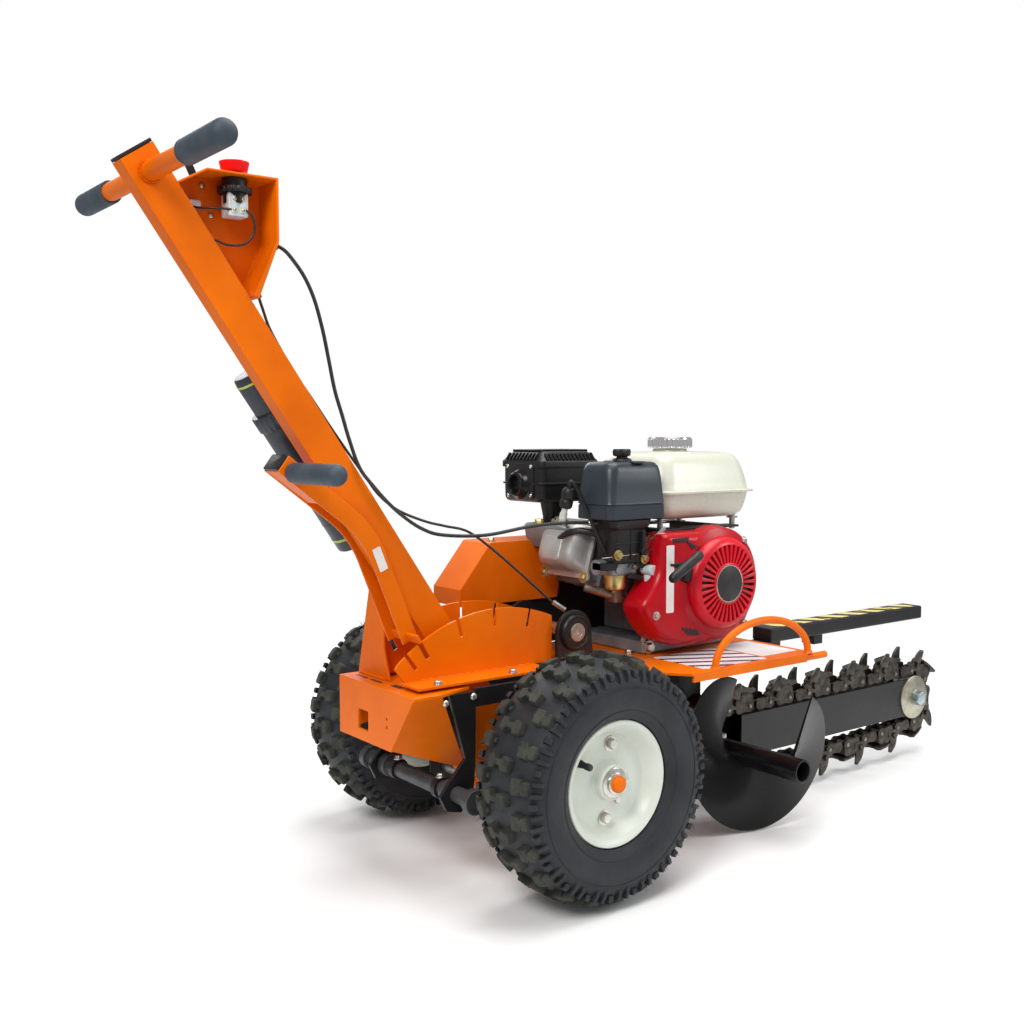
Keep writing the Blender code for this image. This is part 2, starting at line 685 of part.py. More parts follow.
def engine_block():
    """Crankcase with its foot, and the finned cylinder."""
    crankcase = box((0.300, -0.075, 0.310), (0.462, 0.080, 0.480), 0.012, segments=1)
    block = part("engine_block", crankcase, "cast", None)
    join(block, box((0.250, -0.084, DECK_TOP + GAP), (0.470, 0.084, 0.317), 0.003, segments=1))
    join(block, box((-0.046, -0.038, 0.050), (0.046, 0.058, 0.2180), matrix=cylinder_matrix()))
    for step in range(5):
        start = 0.100 + step * 0.021
        join(block, box((-0.054, -0.046, start), (0.054, 0.066, start + 0.006), matrix=cylinder_matrix()))
    cut(block, axle_rod(CRANK, -0.120, 0.120, 0.0135, 20))
    return block


def valve_cover():
    mesh = box((-0.045, -0.043, 0.2185), (0.045, 0.063, 0.2600), 0.010, cylinder_matrix())
    return part("valve_cover", mesh, "cast", None)


def muffler():
    canister = part("muffler", box((0.128, 0.036, 0.547), (0.252, 0.145, 0.6150), 0.008), "black", None)
    outlet = Vector((0.129, 0.092, 0.577))
    join(canister, rod(outlet, outlet + Vector((-0.012, 0, 0)), 0.021, 20))
    cut(canister, rod(outlet + Vector((0.004, 0, 0)), outlet + Vector((-0.020, 0, 0)), 0.014, 20))
    return join(canister, box((0.170, 0.070, 0.4850), (0.215, 0.100, 0.5500)))


def muffler_guard():
    """Louvred heat guard over the muffler, raised in the middle."""
    pan = box((0.126, 0.033, 0.6155), (0.258, 0.148, 0.6360), 0.008, segments=1)
    guard = part("muffler_guard", pan, "black", None)
    for step in range(8):
        start = 0.138 + step * 0.0145
        cut(guard, box((start, 0.030, 0.622), (start + 0.006, 0.050, 0.640)))
        cut(guard, box((start, 0.060, 0.630), (start + 0.006, 0.136, 0.640)))
    return guard


def carburettor():
    bowl = part("carburettor", rod((0.192, -0.077, 0.405), (0.192, -0.077, 0.436), 0.019, 20), "steel", None)
    return join(bowl, box((0.166, -0.098, 0.434), (0.226, -0.0590, 0.4540), 0.003, segments=1))


def air_cleaner_elbow():
    elbow = part("air_cleaner_elbow", box((0.165, -0.106, 0.4545), (0.236, -0.0580, 0.5145), 0.006), "slate", None)
    return join(elbow, box((0.160, -0.112, 0.5100), (0.250, -0.0575, 0.5245)))


def air_cleaner_cover():
    cover = part("air_cleaner_cover", box((0.141, -0.121, 0.5250), (0.268, -0.0350, 0.6175), 0.012), "slate", None)
    return join(cover, rod((0.208, -0.075, 0.612), (0.208, -0.075, 0.638), 0.016, 12))


def fan_outline(shrink=0.0):
    points = [(0.258, 0.500), (0.405, 0.498), (0.446, 0.479), (0.467, 0.444), (0.471, 0.400), (0.456, 0.345)]
    points += [(0.400, 0.3115), (0.300, 0.3100), (0.240, 0.330), (0.202, 0.380), (0.214, 0.402), (0.244, 0.440)]
    centre = Vector((sum(x for x, _ in points), sum(z for _, z in points))) / len(points)
    result = []
    for point in points:
        offset = Vector(point) - centre
        spot = centre + offset * (1 - shrink / offset.length)
        result.append((spot.x, spot.y))
    return result


def fan_cover():
    """Red cowl round the flywheel, open towards the crankcase."""
    cowl = part("fan_cover", plate(fan_outline(), "xz", -0.1100, 0.0500), "red", None)
    cut(cowl, plate(fan_outline(0.005), "xz", -0.1000, 0.0600))
    cut(cowl, axle_rod(CRANK, -0.150, -0.120, 0.055, 28))
    grip_hole = rod((RECOIL.x, -0.150, RECOIL.z), (RECOIL.x, -0.110, RECOIL.z), 0.0050, 12)
    return cut(cowl, grip_hole)


def recoil_housing():
    """Round starter housing on the cowl, dished in front."""
    profile = [(0.0, 0.1590), (0.030, 0.1590), (0.034, 0.1560), (0.066, 0.1570), (0.076, 0.1500), (0.078, 0.1356)]
    profile += [(0.072, 0.1356), (0.070, 0.1475), (0.063, 0.1535), (0.0, 0.1525)]
    centre = Vector((CRANK.x - 0.006, 0.0, CRANK.z + 0.005))
    return part("recoil_housing", turned(profile, centre, 28), "red", None)


def recoil_grip(parent):
    """T-shaped starter grip on the end of its rope."""
    reach = Vector((0.87, 0.0, 0.49)) * 0.040
    grip = part("recoil_grip", rod(RECOIL - reach, RECOIL + reach, 0.0085, 12), "black", parent)
    join(grip, rod(RECOIL + Vector((0, 0.004, 0)), RECOIL + Vector((0, 0.022, 0)), 0.0065, 12))
    return join(grip, rod(RECOIL + Vector((0, 0.018, 0)), RECOIL + Vector((0, 0.110, 0)), 0.0025, 8))


def crankshaft(parent):
    """Crankshaft with its flywheel behind the starter and the clutch drum at the other end."""
    shaft = part("crankshaft", axle_rod(CRANK, -0.118, 0.158, 0.0125, 20), "steel", parent)
    join(shaft, axle_rod(CRANK, -0.116, -0.090, 0.052, 28))
    join(shaft, axle_rod(CRANK, BELT_Y - 0.009, BELT_Y + 0.009, CRANK_PULLEY, 32))
    return join(shaft, axle_rod(CRANK, 0.092, 0.1325, 0.045, 28))


def fuel_tank():
    tank = part("fuel_tank", box((0.272, -0.102, 0.517), (0.514, 0.095, 0.6320), 0.024), "cream", None)
    return join(tank, rod((0.392, 0.0, 0.625), (0.392, 0.0, 0.6370), 0.030, 24))


def fuel_cap(parent):
    profile = [(0.0, 0.6375), (0.0395, 0.6375), (0.0395, 0.6550), (0.0370, 0.6570), (0.0, 0.6570)]
    bm = bmesh.new()
    points = [bm.verts.new((radius, 0.0, height)) for radius, height in profile]
    edges = [bm.edges.new(pair) for pair in zip(points, points[1:])]
    bmesh.ops.spin(bm, geom=points + edges, axis=(0, 0, 1), angle=math.tau, steps=28, use_merge=True)
    return part("fuel_cap", finished(bm, Matrix.Translation((0.392, 0, 0))), "chrome", parent)


def choke_lever(parent):
    """Small black control lever beside the carburettor."""
    pivot = Vector((0.2220, 0, 0.4720))
    lever = part("choke_lever", axle_rod(pivot, -0.1145, -0.1066, 0.006, 12), "black", parent)
    return join(lever, box((0.2185, -0.1140, 0.4720), (0.2255, -0.1105, 0.5060)))


# --- Wheels ------------------------------------------------------------------------------------------


def tyre_profile():
    half = [(RIM_RADIUS - 0.0050, 0.0410), (RIM_RADIUS + 0.0015, 0.0450), (RIM_RADIUS + 0.0015, 0.0560)]
    half += [(0.108, TYRE_HALF_WIDTH - 0.004), (0.135, TYRE_HALF_WIDTH), (0.158, TYRE_HALF_WIDTH - 0.004)]
    half += [(0.171, 0.052), (WHEEL_RADIUS, 0.030)]
    return half + [(radius, -distance) for radius, distance in half[::-1]]


def rim_profile():
    """Pressed rim: a well for the tyre, a dished outer face and a hub tube, as one closed section."""
    points = [(0.0132, 0.045), (0.026, 0.045), (0.027, 0.031), (0.064, 0.026), (0.073, 0.034), (0.080, 0.050)]
    points += [(RIM_RADIUS, RIM_HALF_WIDTH), (RIM_RADIUS, 0.0475), (0.0820, 0.043), (0.0820, -0.043)]
    points += [(RIM_RADIUS, -0.0475), (RIM_RADIUS, -RIM_HALF_WIDTH), (0.077, -0.048)]
    points += [(0.0770, 0.018), (0.062, 0.0200), (0.026, 0.0240), (0.026, -0.045), (0.0132, -0.045)]
    return points


def wheel(name, side, parent):
    centre = Vector((0, side * WHEEL_Y, WHEEL_RADIUS))
    part(f"tyre_{name}", turned(tyre_profile(), centre, 28, side), "rubber", parent)
    part(f"rim_{name}", turned(rim_profile(), centre, 24, side), "white", parent)
    profile = [(0.0, 0.0610), (0.014, 0.0600), (0.0185, 0.0550), (0.0185, 0.0500), (0.024, 0.0500), (0.024, 0.0455)]
    part(f"hub_cap_{name}", turned([*profile, (0.0, 0.0455)], centre, 20, side), "orange", parent)


# --- Mast --------------------------------------------------------------------------------------------


def mast_box(low, high, round_by=0.0, segments=1):
    """A box in mast coordinates, measured from the mast's centre line."""
    return box(low, high, round_by, mast_matrix() @ Matrix.Translation((MAST_OFFSET, 0, 0)), segments)


def mast_tube(parent):
    """Rectangular mast tube with its welded handlebar, and the cheeks and hub that carry it on the pivot pin."""
    depth, width = MAST_DEPTH / 2, MAST_WIDTH / 2
    mast = part("mast_tube", mast_box((-depth, -width, 0.050), (depth, width, MAST_TOP)), "orange", parent)
    cut(mast, mast_box((-depth + 0.0025, -width + 0.0025, 0.060), (depth - 0.0025, width - 0.0025, 1.2)))
    join(mast, box((-0.022, -0.016, -0.022), (MAST_OFFSET + depth, 0.016, 0.056), matrix=mast_matrix()))
    join(mast, axle_rod(PIVOT, -0.030, 0.030, 0.024, 24))
    cut(mast, axle_rod(PIVOT, -0.040, 0.040, 0.0125, 20))
    bar_axis = on_mast(0, 0, HANDLEBAR_UP)
    return join(mast, axle_rod(bar_axis, -HANDLEBAR_HALF + 0.006, HANDLEBAR_HALF - 0.006, 0.0125, 20))


def mast_cap(parent):
    depth, width = MAST_DEPTH / 2, MAST_WIDTH / 2
    lid = mast_box((-depth, -width, MAST_TOP + GAP), (depth, width, MAST_TOP + 0.005))
    inset = 0.003
    far = (depth - inset, width - inset, MAST_TOP + inset)
    plug = mast_box((inset - depth, inset - width, MAST_TOP - 0.010), far)
    return join(part("mast_cap", lid, "black", parent), plug)


def handlebar_grips(parent):
    axis = on_mast(0, 0, HANDLEBAR_UP)
    for name, side in (("right", -1.0), ("left", 1.0)):
        profile = [(0.0130, 0.136), (0.0155, 0.1375), (0.0158, 0.245), (0.0140, 0.2530), (0.0090, HANDLEBAR_HALF)]
        profile += [(0.0, HANDLEBAR_HALF), (0.0, HANDLEBAR_HALF - 0.0055), (0.0130, HANDLEBAR_HALF - 0.0055)]
        closed = turned(profile, Vector((axis.x, 0, axis.z)), 20, side)
        part(f"handlebar_grip_{name}", closed, "rubber", parent)


def control_box(parent):
    """Bent-sheet bracket on the mast's front: top with the switch hole, sloping front and left wall."""
    inner = [(-0.4995, 0.9800), (-0.4650, 0.9990), (-0.3700, 0.9990), (-0.3700, 0.9190), (-0.4035, 0.8440)]
    outer = [(-0.3965, 0.8405), (-0.3665, 0.9180), (-0.3665, 1.0020), (-0.4655, 1.0020), (-0.4990, 0.9835)]
    strip = plate(inner + outer, "xz", 0.0065, 0.0570)
    bracket = part("control_box", strip, "orange", parent)
    wall = [(-0.4975, 0.9815), (-0.4652, 1.0015), (-0.3670, 1.0015), (-0.3670, 0.9185), (-0.3985, 0.8415)]
    join(bracket, plate(wall, "xz", 0.0335, 0.003))
    return cut(bracket, rod((-0.4170, 0.006, 0.990), (-0.4170, 0.006, 1.010), 0.0116, 20))


def stop_switch(body_parent, button_parent):
    """Emergency stop: collar, nut and contact block under the bracket, and the button that is pressed."""
    x, y = -0.4170, 0.006
    housing = part("stop_switch_body", rod((x, y, 0.9660), (x, y, 1.0028), 0.0110, 20), "black", body_parent)
    join(housing, rod((x, y, 0.9760), (x, y, 0.9985), 0.0165, 20))
    join(housing, rod((x, y, 0.9650), (x, y, 0.9720), 0.0225, 20))
    join(housing, box((x - 0.0140, y - 0.0130, 0.9350), (x + 0.0140, y + 0.0130, 0.9680)))
    button = rod((x, y, 1.0065), (x, y, 1.0205), 0.0170, 28, 0.0200)
    return part("stop_button", button, "red", button_parent)


def throttle_lever(parent):
    """Throttle lever on the outside of the bracket's left wall."""
    pivot = Vector((-0.440, 0, 0.965))
    lever = part("throttle_lever", axle_rod(pivot, 0.0355, 0.0440, 0.0160, 20), "black", parent)
    arm = bar_outline([(pivot.x, pivot.z), (pivot.x - 0.030, pivot.z + 0.062)], 0.010)
    join(lever, plate(arm, "xz", 0.0420, 0.004))
    knob_x, knob_z = pivot.x - 0.030, pivot.z + 0.064
    return join(lever, rod((knob_x, 0.036, knob_z), (knob_x, 0.050, knob_z), 0.008, 14))


def manual_canister(parent):
    """Document tube strapped along the mast's left side."""
    across, y = -0.004, 0.0560
    stages = [(0.424, 0.640, 0.0310), (0.638, 0.662, 0.0335), (0.660, 0.722, 0.0260)]
    meshes = []
    for low, high, radius in stages:
        meshes.append(rod(on_mast(across, y, low), on_mast(across, y, high), radius, 24))
    tube = part("manual_canister", meshes[0], "slate", parent)
    for mesh in meshes[1:]:
        join(tube, mesh)
    for up in (0.600, 0.680):
        join(tube, mast_box((-0.012, MAST_WIDTH / 2 + 0.0006, up), (0.008, 0.040, up + 0.018)))
    return tube


# --- Lock lever --------------------------------------------------------------------------------------


def lock_lever(parent):
    """Two side plates that straddle the mast, a tooth across them, and a bent box arm with its plug."""
    tip, end = (-0.1640, 0.3560), (-0.3650, 0.6212)
    outline = bar_outline([tip, (-0.2260, 0.5020), (-0.2440, 0.5320), end], 0.027)
    lever = part("lock_lever", plate(outline, "xz", -0.0205, 0.004), "orange", parent)
    join(lever, plate(outline, "xz", 0.0205, 0.004))
    arm_start, arm_end = (-0.3010, 0.5742), (-0.3642, 0.6206)
    join(lever, plate(bar_outline([arm_start, arm_end], 0.0260), "xz", 0.0, 0.043))
    slot = math.radians(90.0 + LOCK_SLOT)
    radial = Vector((math.cos(slot), 0, math.sin(slot)))
    across = Vector((-radial.z, 0, radial.x))
    turn = Matrix((across, Vector((0, 1, 0)), radial)).transposed().to_4x4()
    place = Matrix.Translation(PIVOT) @ turn
    tooth = box((-0.0025, -0.052, QUADRANT_RADIUS + 0.0008), (0.0025, 0.052, QUADRANT_RADIUS + 0.0150), matrix=place)
    return join(lever, tooth)


def lock_lever_grip(parent):
    profile = [(0.0, 0.0230), (0.0130, 0.0230), (0.0145, 0.0260), (0.0145, 0.1480), (0.0120, 0.1545), (0.0, 0.1560)]
    return part("lock_lever_grip", turned(profile, Vector((-0.3500, 0, 0.6080)), 20), "rubber", parent)


# --- Cables ------------------------------------------------------------------------------------------


THROTTLE_CABLE = [
    (-0.3640, 0.010, 0.9210), (-0.3500, 0.000, 0.9120), (-0.3350, 0.000, 0.8980), (-0.3180, 0.000, 0.8760),
    (-0.3040, 0.000, 0.8470), (-0.2920, 0.000, 0.8070), (-0.2830, 0.000, 0.7660), (-0.2760, -0.004, 0.7230),
    (-0.2680, -0.010, 0.6880), (-0.2590, -0.014, 0.6530), (-0.2460, -0.020, 0.6130), (-0.2260, -0.0250, 0.5860),
    (-0.2050, -0.0280, 0.5630), (-0.1820, -0.0330, 0.5420), (-0.1540, -0.0400, 0.5230), (-0.1230, -0.0480, 0.5130),
    (-0.0550, -0.0600, 0.5100), (0.0300, -0.0660, 0.5200), (0.0950, -0.0680, 0.5220), (0.1580, -0.0700, 0.5190),
]
CLUTCH_CABLE = [
    (-0.3880, 0.006, 0.8560), (-0.3790, 0.006, 0.8300), (-0.3680, 0.004, 0.8000), (-0.3390, 0.000, 0.7500),
    (-0.3060, 0.000, 0.7050), (-0.2710, -0.002, 0.6560), (-0.2340, -0.012, 0.6020), (-0.2130, -0.0200, 0.5720),
    (-0.1850, -0.0260, 0.5500), (-0.1420, -0.0280, 0.5330), (-0.1050, -0.0260, 0.5240), (-0.0600, -0.0220, 0.5130),
    (-0.0150, -0.0250, 0.4830), (0.0380, -0.0350, 0.4380), (0.0830, -0.0450, 0.3980), (0.1000, -0.0540, 0.3850),
]


def cables(parent):
    part("throttle_cable", pipe(THROTTLE_CABLE, 0.0027), "black", parent)
    part("clutch_cable", pipe(CLUTCH_CABLE, 0.0020), "black", parent)


# --- Assembly ----------------------------------------------------------------------------------------


def build_chassis():
    for name, side in (("right", -1), ("left", 1)):
        frame_plate(f"frame_plate_{name}", side)
        quadrant_plate(f"quadrant_plate_{name}", side)
        stub_axle(f"stub_axle_{name}", side)
    rear_tub()
    rear_upright()
    belly_panel()
    engine_deck()
    deck_hoop()
    cross_tube()
    pivot_pin()
    belt_cover()
    bearing("jackshaft_bearing_right", -0.0560, 0.008, 0.006)
    bearing("jackshaft_bearing_left", 0.0760, 0.008, 0.003)
    final_drive_chain()
    drive_belt()
    boom_carrier()
    boom_bar()
    nose_bolt()
    digging_chain()
    safety_bar()


def build_engine():
    engine_block()
    valve_cover()
    muffler()
    muffler_guard()
    carburettor()
    air_cleaner_elbow()
    air_cleaner_cover()
    fan_cover()
    recoil_housing()
    fuel_tank()


def build_mast():
    mast = body("mast", PIVOT)
    mast_tube(mast)
    mast_cap(mast)
    handlebar_grips(mast)
    control_box(mast)
    button = body("stop_button_body", Vector((-0.4170, 0.006, 1.0065)), mast)
    stop_switch(mast, button)
    throttle_lever(body("throttle_lever_body", Vector((-0.440, 0.040, 0.965)), mast))
    manual_canister(mast)
    cables(mast)
    lock = body("lock_lever_body", on_mast(0, 0, 0.45), mast)
    lock_lever(lock)
    lock_lever_grip(lock)


def build_drive():
    head = body("head_shaft_body", HEAD_SHAFT)
    auger(head)
    digging_sprocket(head)
    nose_roller(body("nose_roller_body", NOSE))
    jackshaft(body("jackshaft_body", JACKSHAFT))
    crankshaft(body("crankshaft_body", CRANK))


def build_controls():
    recoil_grip(body("recoil_grip_body", RECOIL))
    fuel_cap(body("fuel_cap_body", Vector((0.392, 0, 0.640))))
    choke_lever(body("choke_lever_body", Vector((0.222, -0.112, 0.472))))


def main():
    clear_scene()
    build_chassis()
    build_engine()
    for name, side in (("right", -1.0), ("left", 1.0)):
        wheel(name, side, body(f"wheel_{name}", Vector((0, side * WHEEL_Y, WHEEL_RADIUS))))
    build_mast()
    build_drive()
    build_controls()
    machine().location.x = -MIDDLE_X
    bpy.context.view_layer.update()


main()
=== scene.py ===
import math
import random

import bmesh
import bpy
from mathutils import Matrix, Vector


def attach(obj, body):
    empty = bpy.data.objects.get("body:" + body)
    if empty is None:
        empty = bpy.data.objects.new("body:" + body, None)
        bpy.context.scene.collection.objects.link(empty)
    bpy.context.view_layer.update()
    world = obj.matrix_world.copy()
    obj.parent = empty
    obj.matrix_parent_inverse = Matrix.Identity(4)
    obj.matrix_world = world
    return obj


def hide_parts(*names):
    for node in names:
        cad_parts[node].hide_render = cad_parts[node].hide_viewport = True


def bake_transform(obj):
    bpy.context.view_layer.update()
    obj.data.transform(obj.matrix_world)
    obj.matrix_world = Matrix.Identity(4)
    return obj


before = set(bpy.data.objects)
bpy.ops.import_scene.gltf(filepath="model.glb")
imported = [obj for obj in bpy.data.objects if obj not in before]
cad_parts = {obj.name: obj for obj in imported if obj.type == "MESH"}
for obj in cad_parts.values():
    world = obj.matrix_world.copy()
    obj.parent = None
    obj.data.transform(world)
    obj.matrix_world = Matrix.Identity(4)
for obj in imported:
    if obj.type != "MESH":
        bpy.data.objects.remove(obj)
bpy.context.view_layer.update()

# Shapes are laid out with X zero over the wheel axles, and each piece is then moved back by MIDDLE_X.
MIDDLE_X = 0.2615

WHEEL_RADIUS = 0.1775
WHEEL_Y = 0.245
TYRE_HALF_WIDTH = 0.068
PIVOT = Vector((-0.021, 0.0, 0.118))
MAST_LEAN = math.radians(34.5)
MAST_OFFSET = 0.067
HANDLEBAR_UP = 1.01
DECK_TOP = 0.296
CRANK = Vector((0.383, 0.0, 0.408))
CYLINDER_LEAN = math.radians(17.0)
JACKSHAFT = Vector((0.122, 0.0, 0.345))
HEAD_SHAFT = Vector((0.397, 0.0, 0.124))
BOOM_Y = -0.08
NOSE = Vector((1.0, BOOM_Y, 0.124))
AUGER_START = math.radians(64.0)
RECOIL = Vector((0.262, -0.169, 0.45))
STARTER = Vector((CRANK.x - 0.006, 0, CRANK.z + 0.005))
TANK_NECK = Vector((0.392, 0.0, 0.626))
FINAL_CHAIN_Y = 0.115
STOP_X, STOP_Y = -0.417, 0.006

UP = Vector((0, 0, 1))
DOWN = Vector((0, 0, -1))
RIGHT = Vector((0, -1, 0))
LEFT = Vector((0, 1, 0))
REAR = Vector((-1, 0, 0))


# --- Shapes, each returned as a mesh ---


def finished(bm, matrix=None):
    bmesh.ops.remove_doubles(bm, verts=bm.verts, dist=1e-6)
    if matrix is not None:
        bmesh.ops.transform(bm, matrix=matrix, verts=bm.verts)
    bmesh.ops.recalc_face_normals(bm, faces=bm.faces)
    mesh = bpy.data.meshes.new("shape")
    bm.to_mesh(mesh)
    bm.free()
    return mesh


def aim(point, direction, roll=0.0):
    """Places a shape made along Z so that it starts at a point and runs in a direction."""
    turn = Vector(direction).to_track_quat("Z", "Y").to_matrix().to_4x4()
    return Matrix.Translation(point) @ turn @ Matrix.Rotation(roll, 4, "Z")


def box(low, high, matrix=None):
    low, high = Vector(low), Vector(high)
    bm = bmesh.new()
    bmesh.ops.create_cube(bm, size=1.0)
    bmesh.ops.scale(bm, vec=high - low, verts=bm.verts)
    bmesh.ops.translate(bm, vec=(low + high) / 2, verts=bm.verts)
    return finished(bm, matrix)


def loft(rings, matrix=None, looped=False):
    """Skins rings of points that all hold the same count, with a face over each end unless it is looped."""
    bm = bmesh.new()
    loops = [[bm.verts.new(point) for point in ring] for ring in rings]
    pairs = list(zip(loops, loops[1:]))
    if looped:
        pairs.append((loops[-1], loops[0]))
    count = len(loops[0])
    for one, two in pairs:
        for index in range(count):
            after = (index + 1) % count
            bm.faces.new((one[index], one[after], two[after], two[index]))
    if not looped:
        bm.faces.new(loops[0][::-1])
        bm.faces.new(loops[-1])
    return finished(bm, matrix)


def turned(profile, point, direction, steps=48, looped=False, lobes=None):
    """A body of revolution from (radius, distance) pairs. Lobes makes the radius of each ring wavy."""
    rings = []
    for radius, distance in profile:
        ring = []
        for step in range(steps):
            angle = math.tau * step / steps
            reach = radius * (1 + (lobes(angle, radius, distance) if lobes else 0.0))
            ring.append((reach * math.cos(angle), reach * math.sin(angle), distance))
        rings.append(ring)
    return loft(rings, aim(point, direction), looped)


def disc(radius, height, point, direction, steps):
    """A plain cylinder, standing on a point."""
    return turned([(0.0, 0.0), (radius, 0.0), (radius, height), (0.0, height) ], point, direction, steps)


def rod(start, end, radius, steps=32, end_radius=None, edge=0.0006):
    """A cylinder or cone between two points, with a small chamfer at both ends."""
    start, end = Vector(start), Vector(end)
    length = (end - start).length
    far = radius if end_radius is None else end_radius
    profile = [(radius - edge, 0.0), (radius, edge), (far, length - edge), (far - edge, length)]
    return turned(profile, start, end - start, steps)


def rounded_ring(low, high, radius, level, steps=6):
    (x0, y0), (x1, y1) = low, high
    corners = ((x1 - radius, y1 - radius), (x0 + radius, y1 - radius),
        (x0 + radius, y0 + radius), (x1 - radius, y0 + radius))
    ring = []
    for quarter, (x, y) in enumerate(corners):
        for step in range(steps + 1):
            angle = math.radians(90.0 * (quarter + step / steps))
            ring.append((x + radius * math.cos(angle), y + radius * math.sin(angle), level))
    return ring


def rounded_box(low, high, levels, matrix=None, steps=6):
    """A box with round corners. Each level holds its height, how far it draws in and its corner radius."""
    rings = []
    for height, inset, radius in levels:
        near = (low[0] + inset, low[1] + inset)
        far = (high[0] - inset, high[1] - inset)
        rings.append(rounded_ring(near, far, radius, height, steps))
    return loft(rings, matrix)


def pillow(low, high, edge, corner, matrix=None, steps=4):
    """A box with its upright edges rounded by corner and its top and bottom edges rounded by edge."""
    levels = []
    for step in range(steps + 1):
        angle = math.radians(90.0 * step / steps)
        levels.append((low[2] + edge * (1 - math.sin(angle)), edge * (1 - math.cos(angle)), corner))
    levels = levels[::-1]
    for step in range(steps + 1):
        angle = math.radians(90.0 * step / steps)
        levels.append((high[2] - edge * (1 - math.sin(angle)), edge * (1 - math.cos(angle)), corner))
    levels = sorted(levels, key=lambda level: level[0])
    safe = [(height, inset, max(corner - inset * 0.6, 0.001)) for height, inset, corner in levels]
    return rounded_box(low[:2], high[:2], safe, matrix)


PLANES = {
    "xz": Matrix(((1, 0, 0, 0), (0, 0, -1, 0), (0, 1, 0, 0), (0, 0, 0, 1))),
    "xy": Matrix.Identity(4),
    "yz": Matrix(((0, 0, 1, 0), (1, 0, 0, 0), (0, 1, 0, 0), (0, 0, 0, 1))),
}


def plate(outline, plane, centre, thickness, holes=(), matrix=None):
    """A flat sheet cut to an outline in a plane, with holes, centred at a distance along its normal axis."""
    curve = bpy.data.curves.new("outline", "CURVE")
    curve.dimensions = "2D"
    curve.fill_mode = "BOTH"
    curve.extrude = thickness / 2
    for loop in (outline, *holes):
        spline = curve.splines.new("POLY")
        spline.points.add(len(loop) - 1)
        for target, (u, v) in zip(spline.points, loop):
            target.co = (u, v, 0.0, 1.0)
        spline.use_cyclic_u = True
    offset = {"xz": (0, centre, 0), "xy": (0, 0, centre), "yz": (centre, 0, 0)}[plane]
    place = Matrix.Translation(offset) @ PLANES[plane]
    return curve_mesh(curve, place if matrix is None else matrix @ place)


def curve_mesh(curve, matrix=None):
    holder = bpy.data.objects.new("curve", curve)
    mesh = bpy.data.meshes.new_from_object(holder)
    bpy.data.objects.remove(holder)
    bm = bmesh.new()
    bm.from_mesh(mesh)
    return finished(bm, matrix)


def smooth(points, steps=6, closed=False):
    """A smooth curve through points, as more points."""
    points = [Vector(point) for point in points]
    count = len(points)
    spans = count if closed else count - 1
    found = []
    for index in range(spans):
        one, two = points[index], points[(index + 1) % count]
        before = points[index - 1] if closed or index else one
        after = points[(index + 2) % count] if closed or index < spans - 1 else two
        for step in range(steps):
            t = step / steps
            slope = two - before
            bend = before * 2 - one * 5 + two * 4 - after
            twist = one * 3 - before - two * 3 + after
            found.append((one * 2 + slope * t + bend * t ** 2 + twist * t ** 3) / 2)
    if not closed:
        found.append(points[-1])
    return found


def tube(points, radius, sides=12):
    """A round bar or cable along points, with closed ends."""
    curve = bpy.data.curves.new("route", "CURVE")
    curve.dimensions = "3D"
    curve.bevel_depth = radius
    curve.bevel_resolution = sides // 4
    curve.use_fill_caps = True
    spline = curve.splines.new("POLY")
    spline.points.add(len(points) - 1)
    for target, point in zip(spline.points, points):
        target.co = (*point, 1.0)
    return curve_mesh(curve)


def circle(u, v, radius, steps=24):
    return arc(u, v, radius, 0, 360, steps)[:-1]


def arc(u, v, radius, start, end, steps):
    angles = [math.radians(start + (end - start) * step / steps) for step in range(steps + 1)]
    return [(u + radius * math.cos(angle), v + radius * math.sin(angle)) for angle in angles]


def bolt(point, direction, size=0.008, washer=True, roll=0.3):
    """A hexagon bolt head with its washer, standing on a point. Size is its width across flats."""
    across = size / 2 / math.cos(math.radians(30))
    high = size * 0.62
    meshes = []
    if washer:
        meshes.append(turned([(0.0, 0.0), (size * 0.82, 0.0),
            (size * 0.82, size * 0.12), (0.0, size * 0.14)], point, direction, 24))
    base = aim(point, direction, roll)
    rings = []
    for reach, height in ((across, 0.0), (across, high * 0.86),
            (across * 0.86, high), (across * 0.4, high * 1.02)):
        rings.append([(reach * math.cos(math.tau * i / 6),
            reach * math.sin(math.tau * i / 6), height) for i in range(6)])
    meshes.append(loft(rings, base))
    return meshes


def dome_bolt(point, direction, radius):
    """A round-head screw with a dished socket."""
    profile = [(radius, 0.0), (radius * 0.95, radius * 0.35), (radius * 0.7, radius * 0.6),
        (radius * 0.42, radius * 0.7), (radius * 0.38, radius * 0.35), (0.0, radius * 0.35)]
    return [turned(profile, point, direction, 18)]


def weld_bead(points, radius=0.0028):
    """A row of overlapping beads along a seam."""
    route = smooth(points, 14)
    rings = []
    for index, point in enumerate(route):
        before, after = route[max(index - 1, 0)], route[min(index + 1, len(route) - 1)]
        along = (after - before).normalized()
        side = along.orthogonal().normalized()
        other = along.cross(side)
        swell = radius * (1.0 + 0.22 * math.sin(index * 1.7))
        ring = []
        for corner in range(8):
            angle = math.tau * corner / 8
            ring.append(point + (side * math.cos(angle) + other * math.sin(angle)) * swell)
        rings.append(ring)
    return loft(rings)


# --- Materials ---


def new_material(name):
    made = bpy.data.materials.new(name)
    made.use_nodes = True
    return made, made.node_tree, made.node_tree.nodes["Principled BSDF"]


def coordinates(tree):
    return tree.nodes.new("ShaderNodeTexCoord").outputs["Object"]


def noise(tree, scale, detail=4.0, roughness=0.55):
    texture = tree.nodes.new("ShaderNodeTexNoise")
    texture.inputs["Scale"].default_value = scale
    texture.inputs["Detail"].default_value = detail
    texture.inputs["Roughness"].default_value = roughness
    tree.links.new(coordinates(tree), texture.inputs["Vector"])
    return texture.outputs["Fac"]


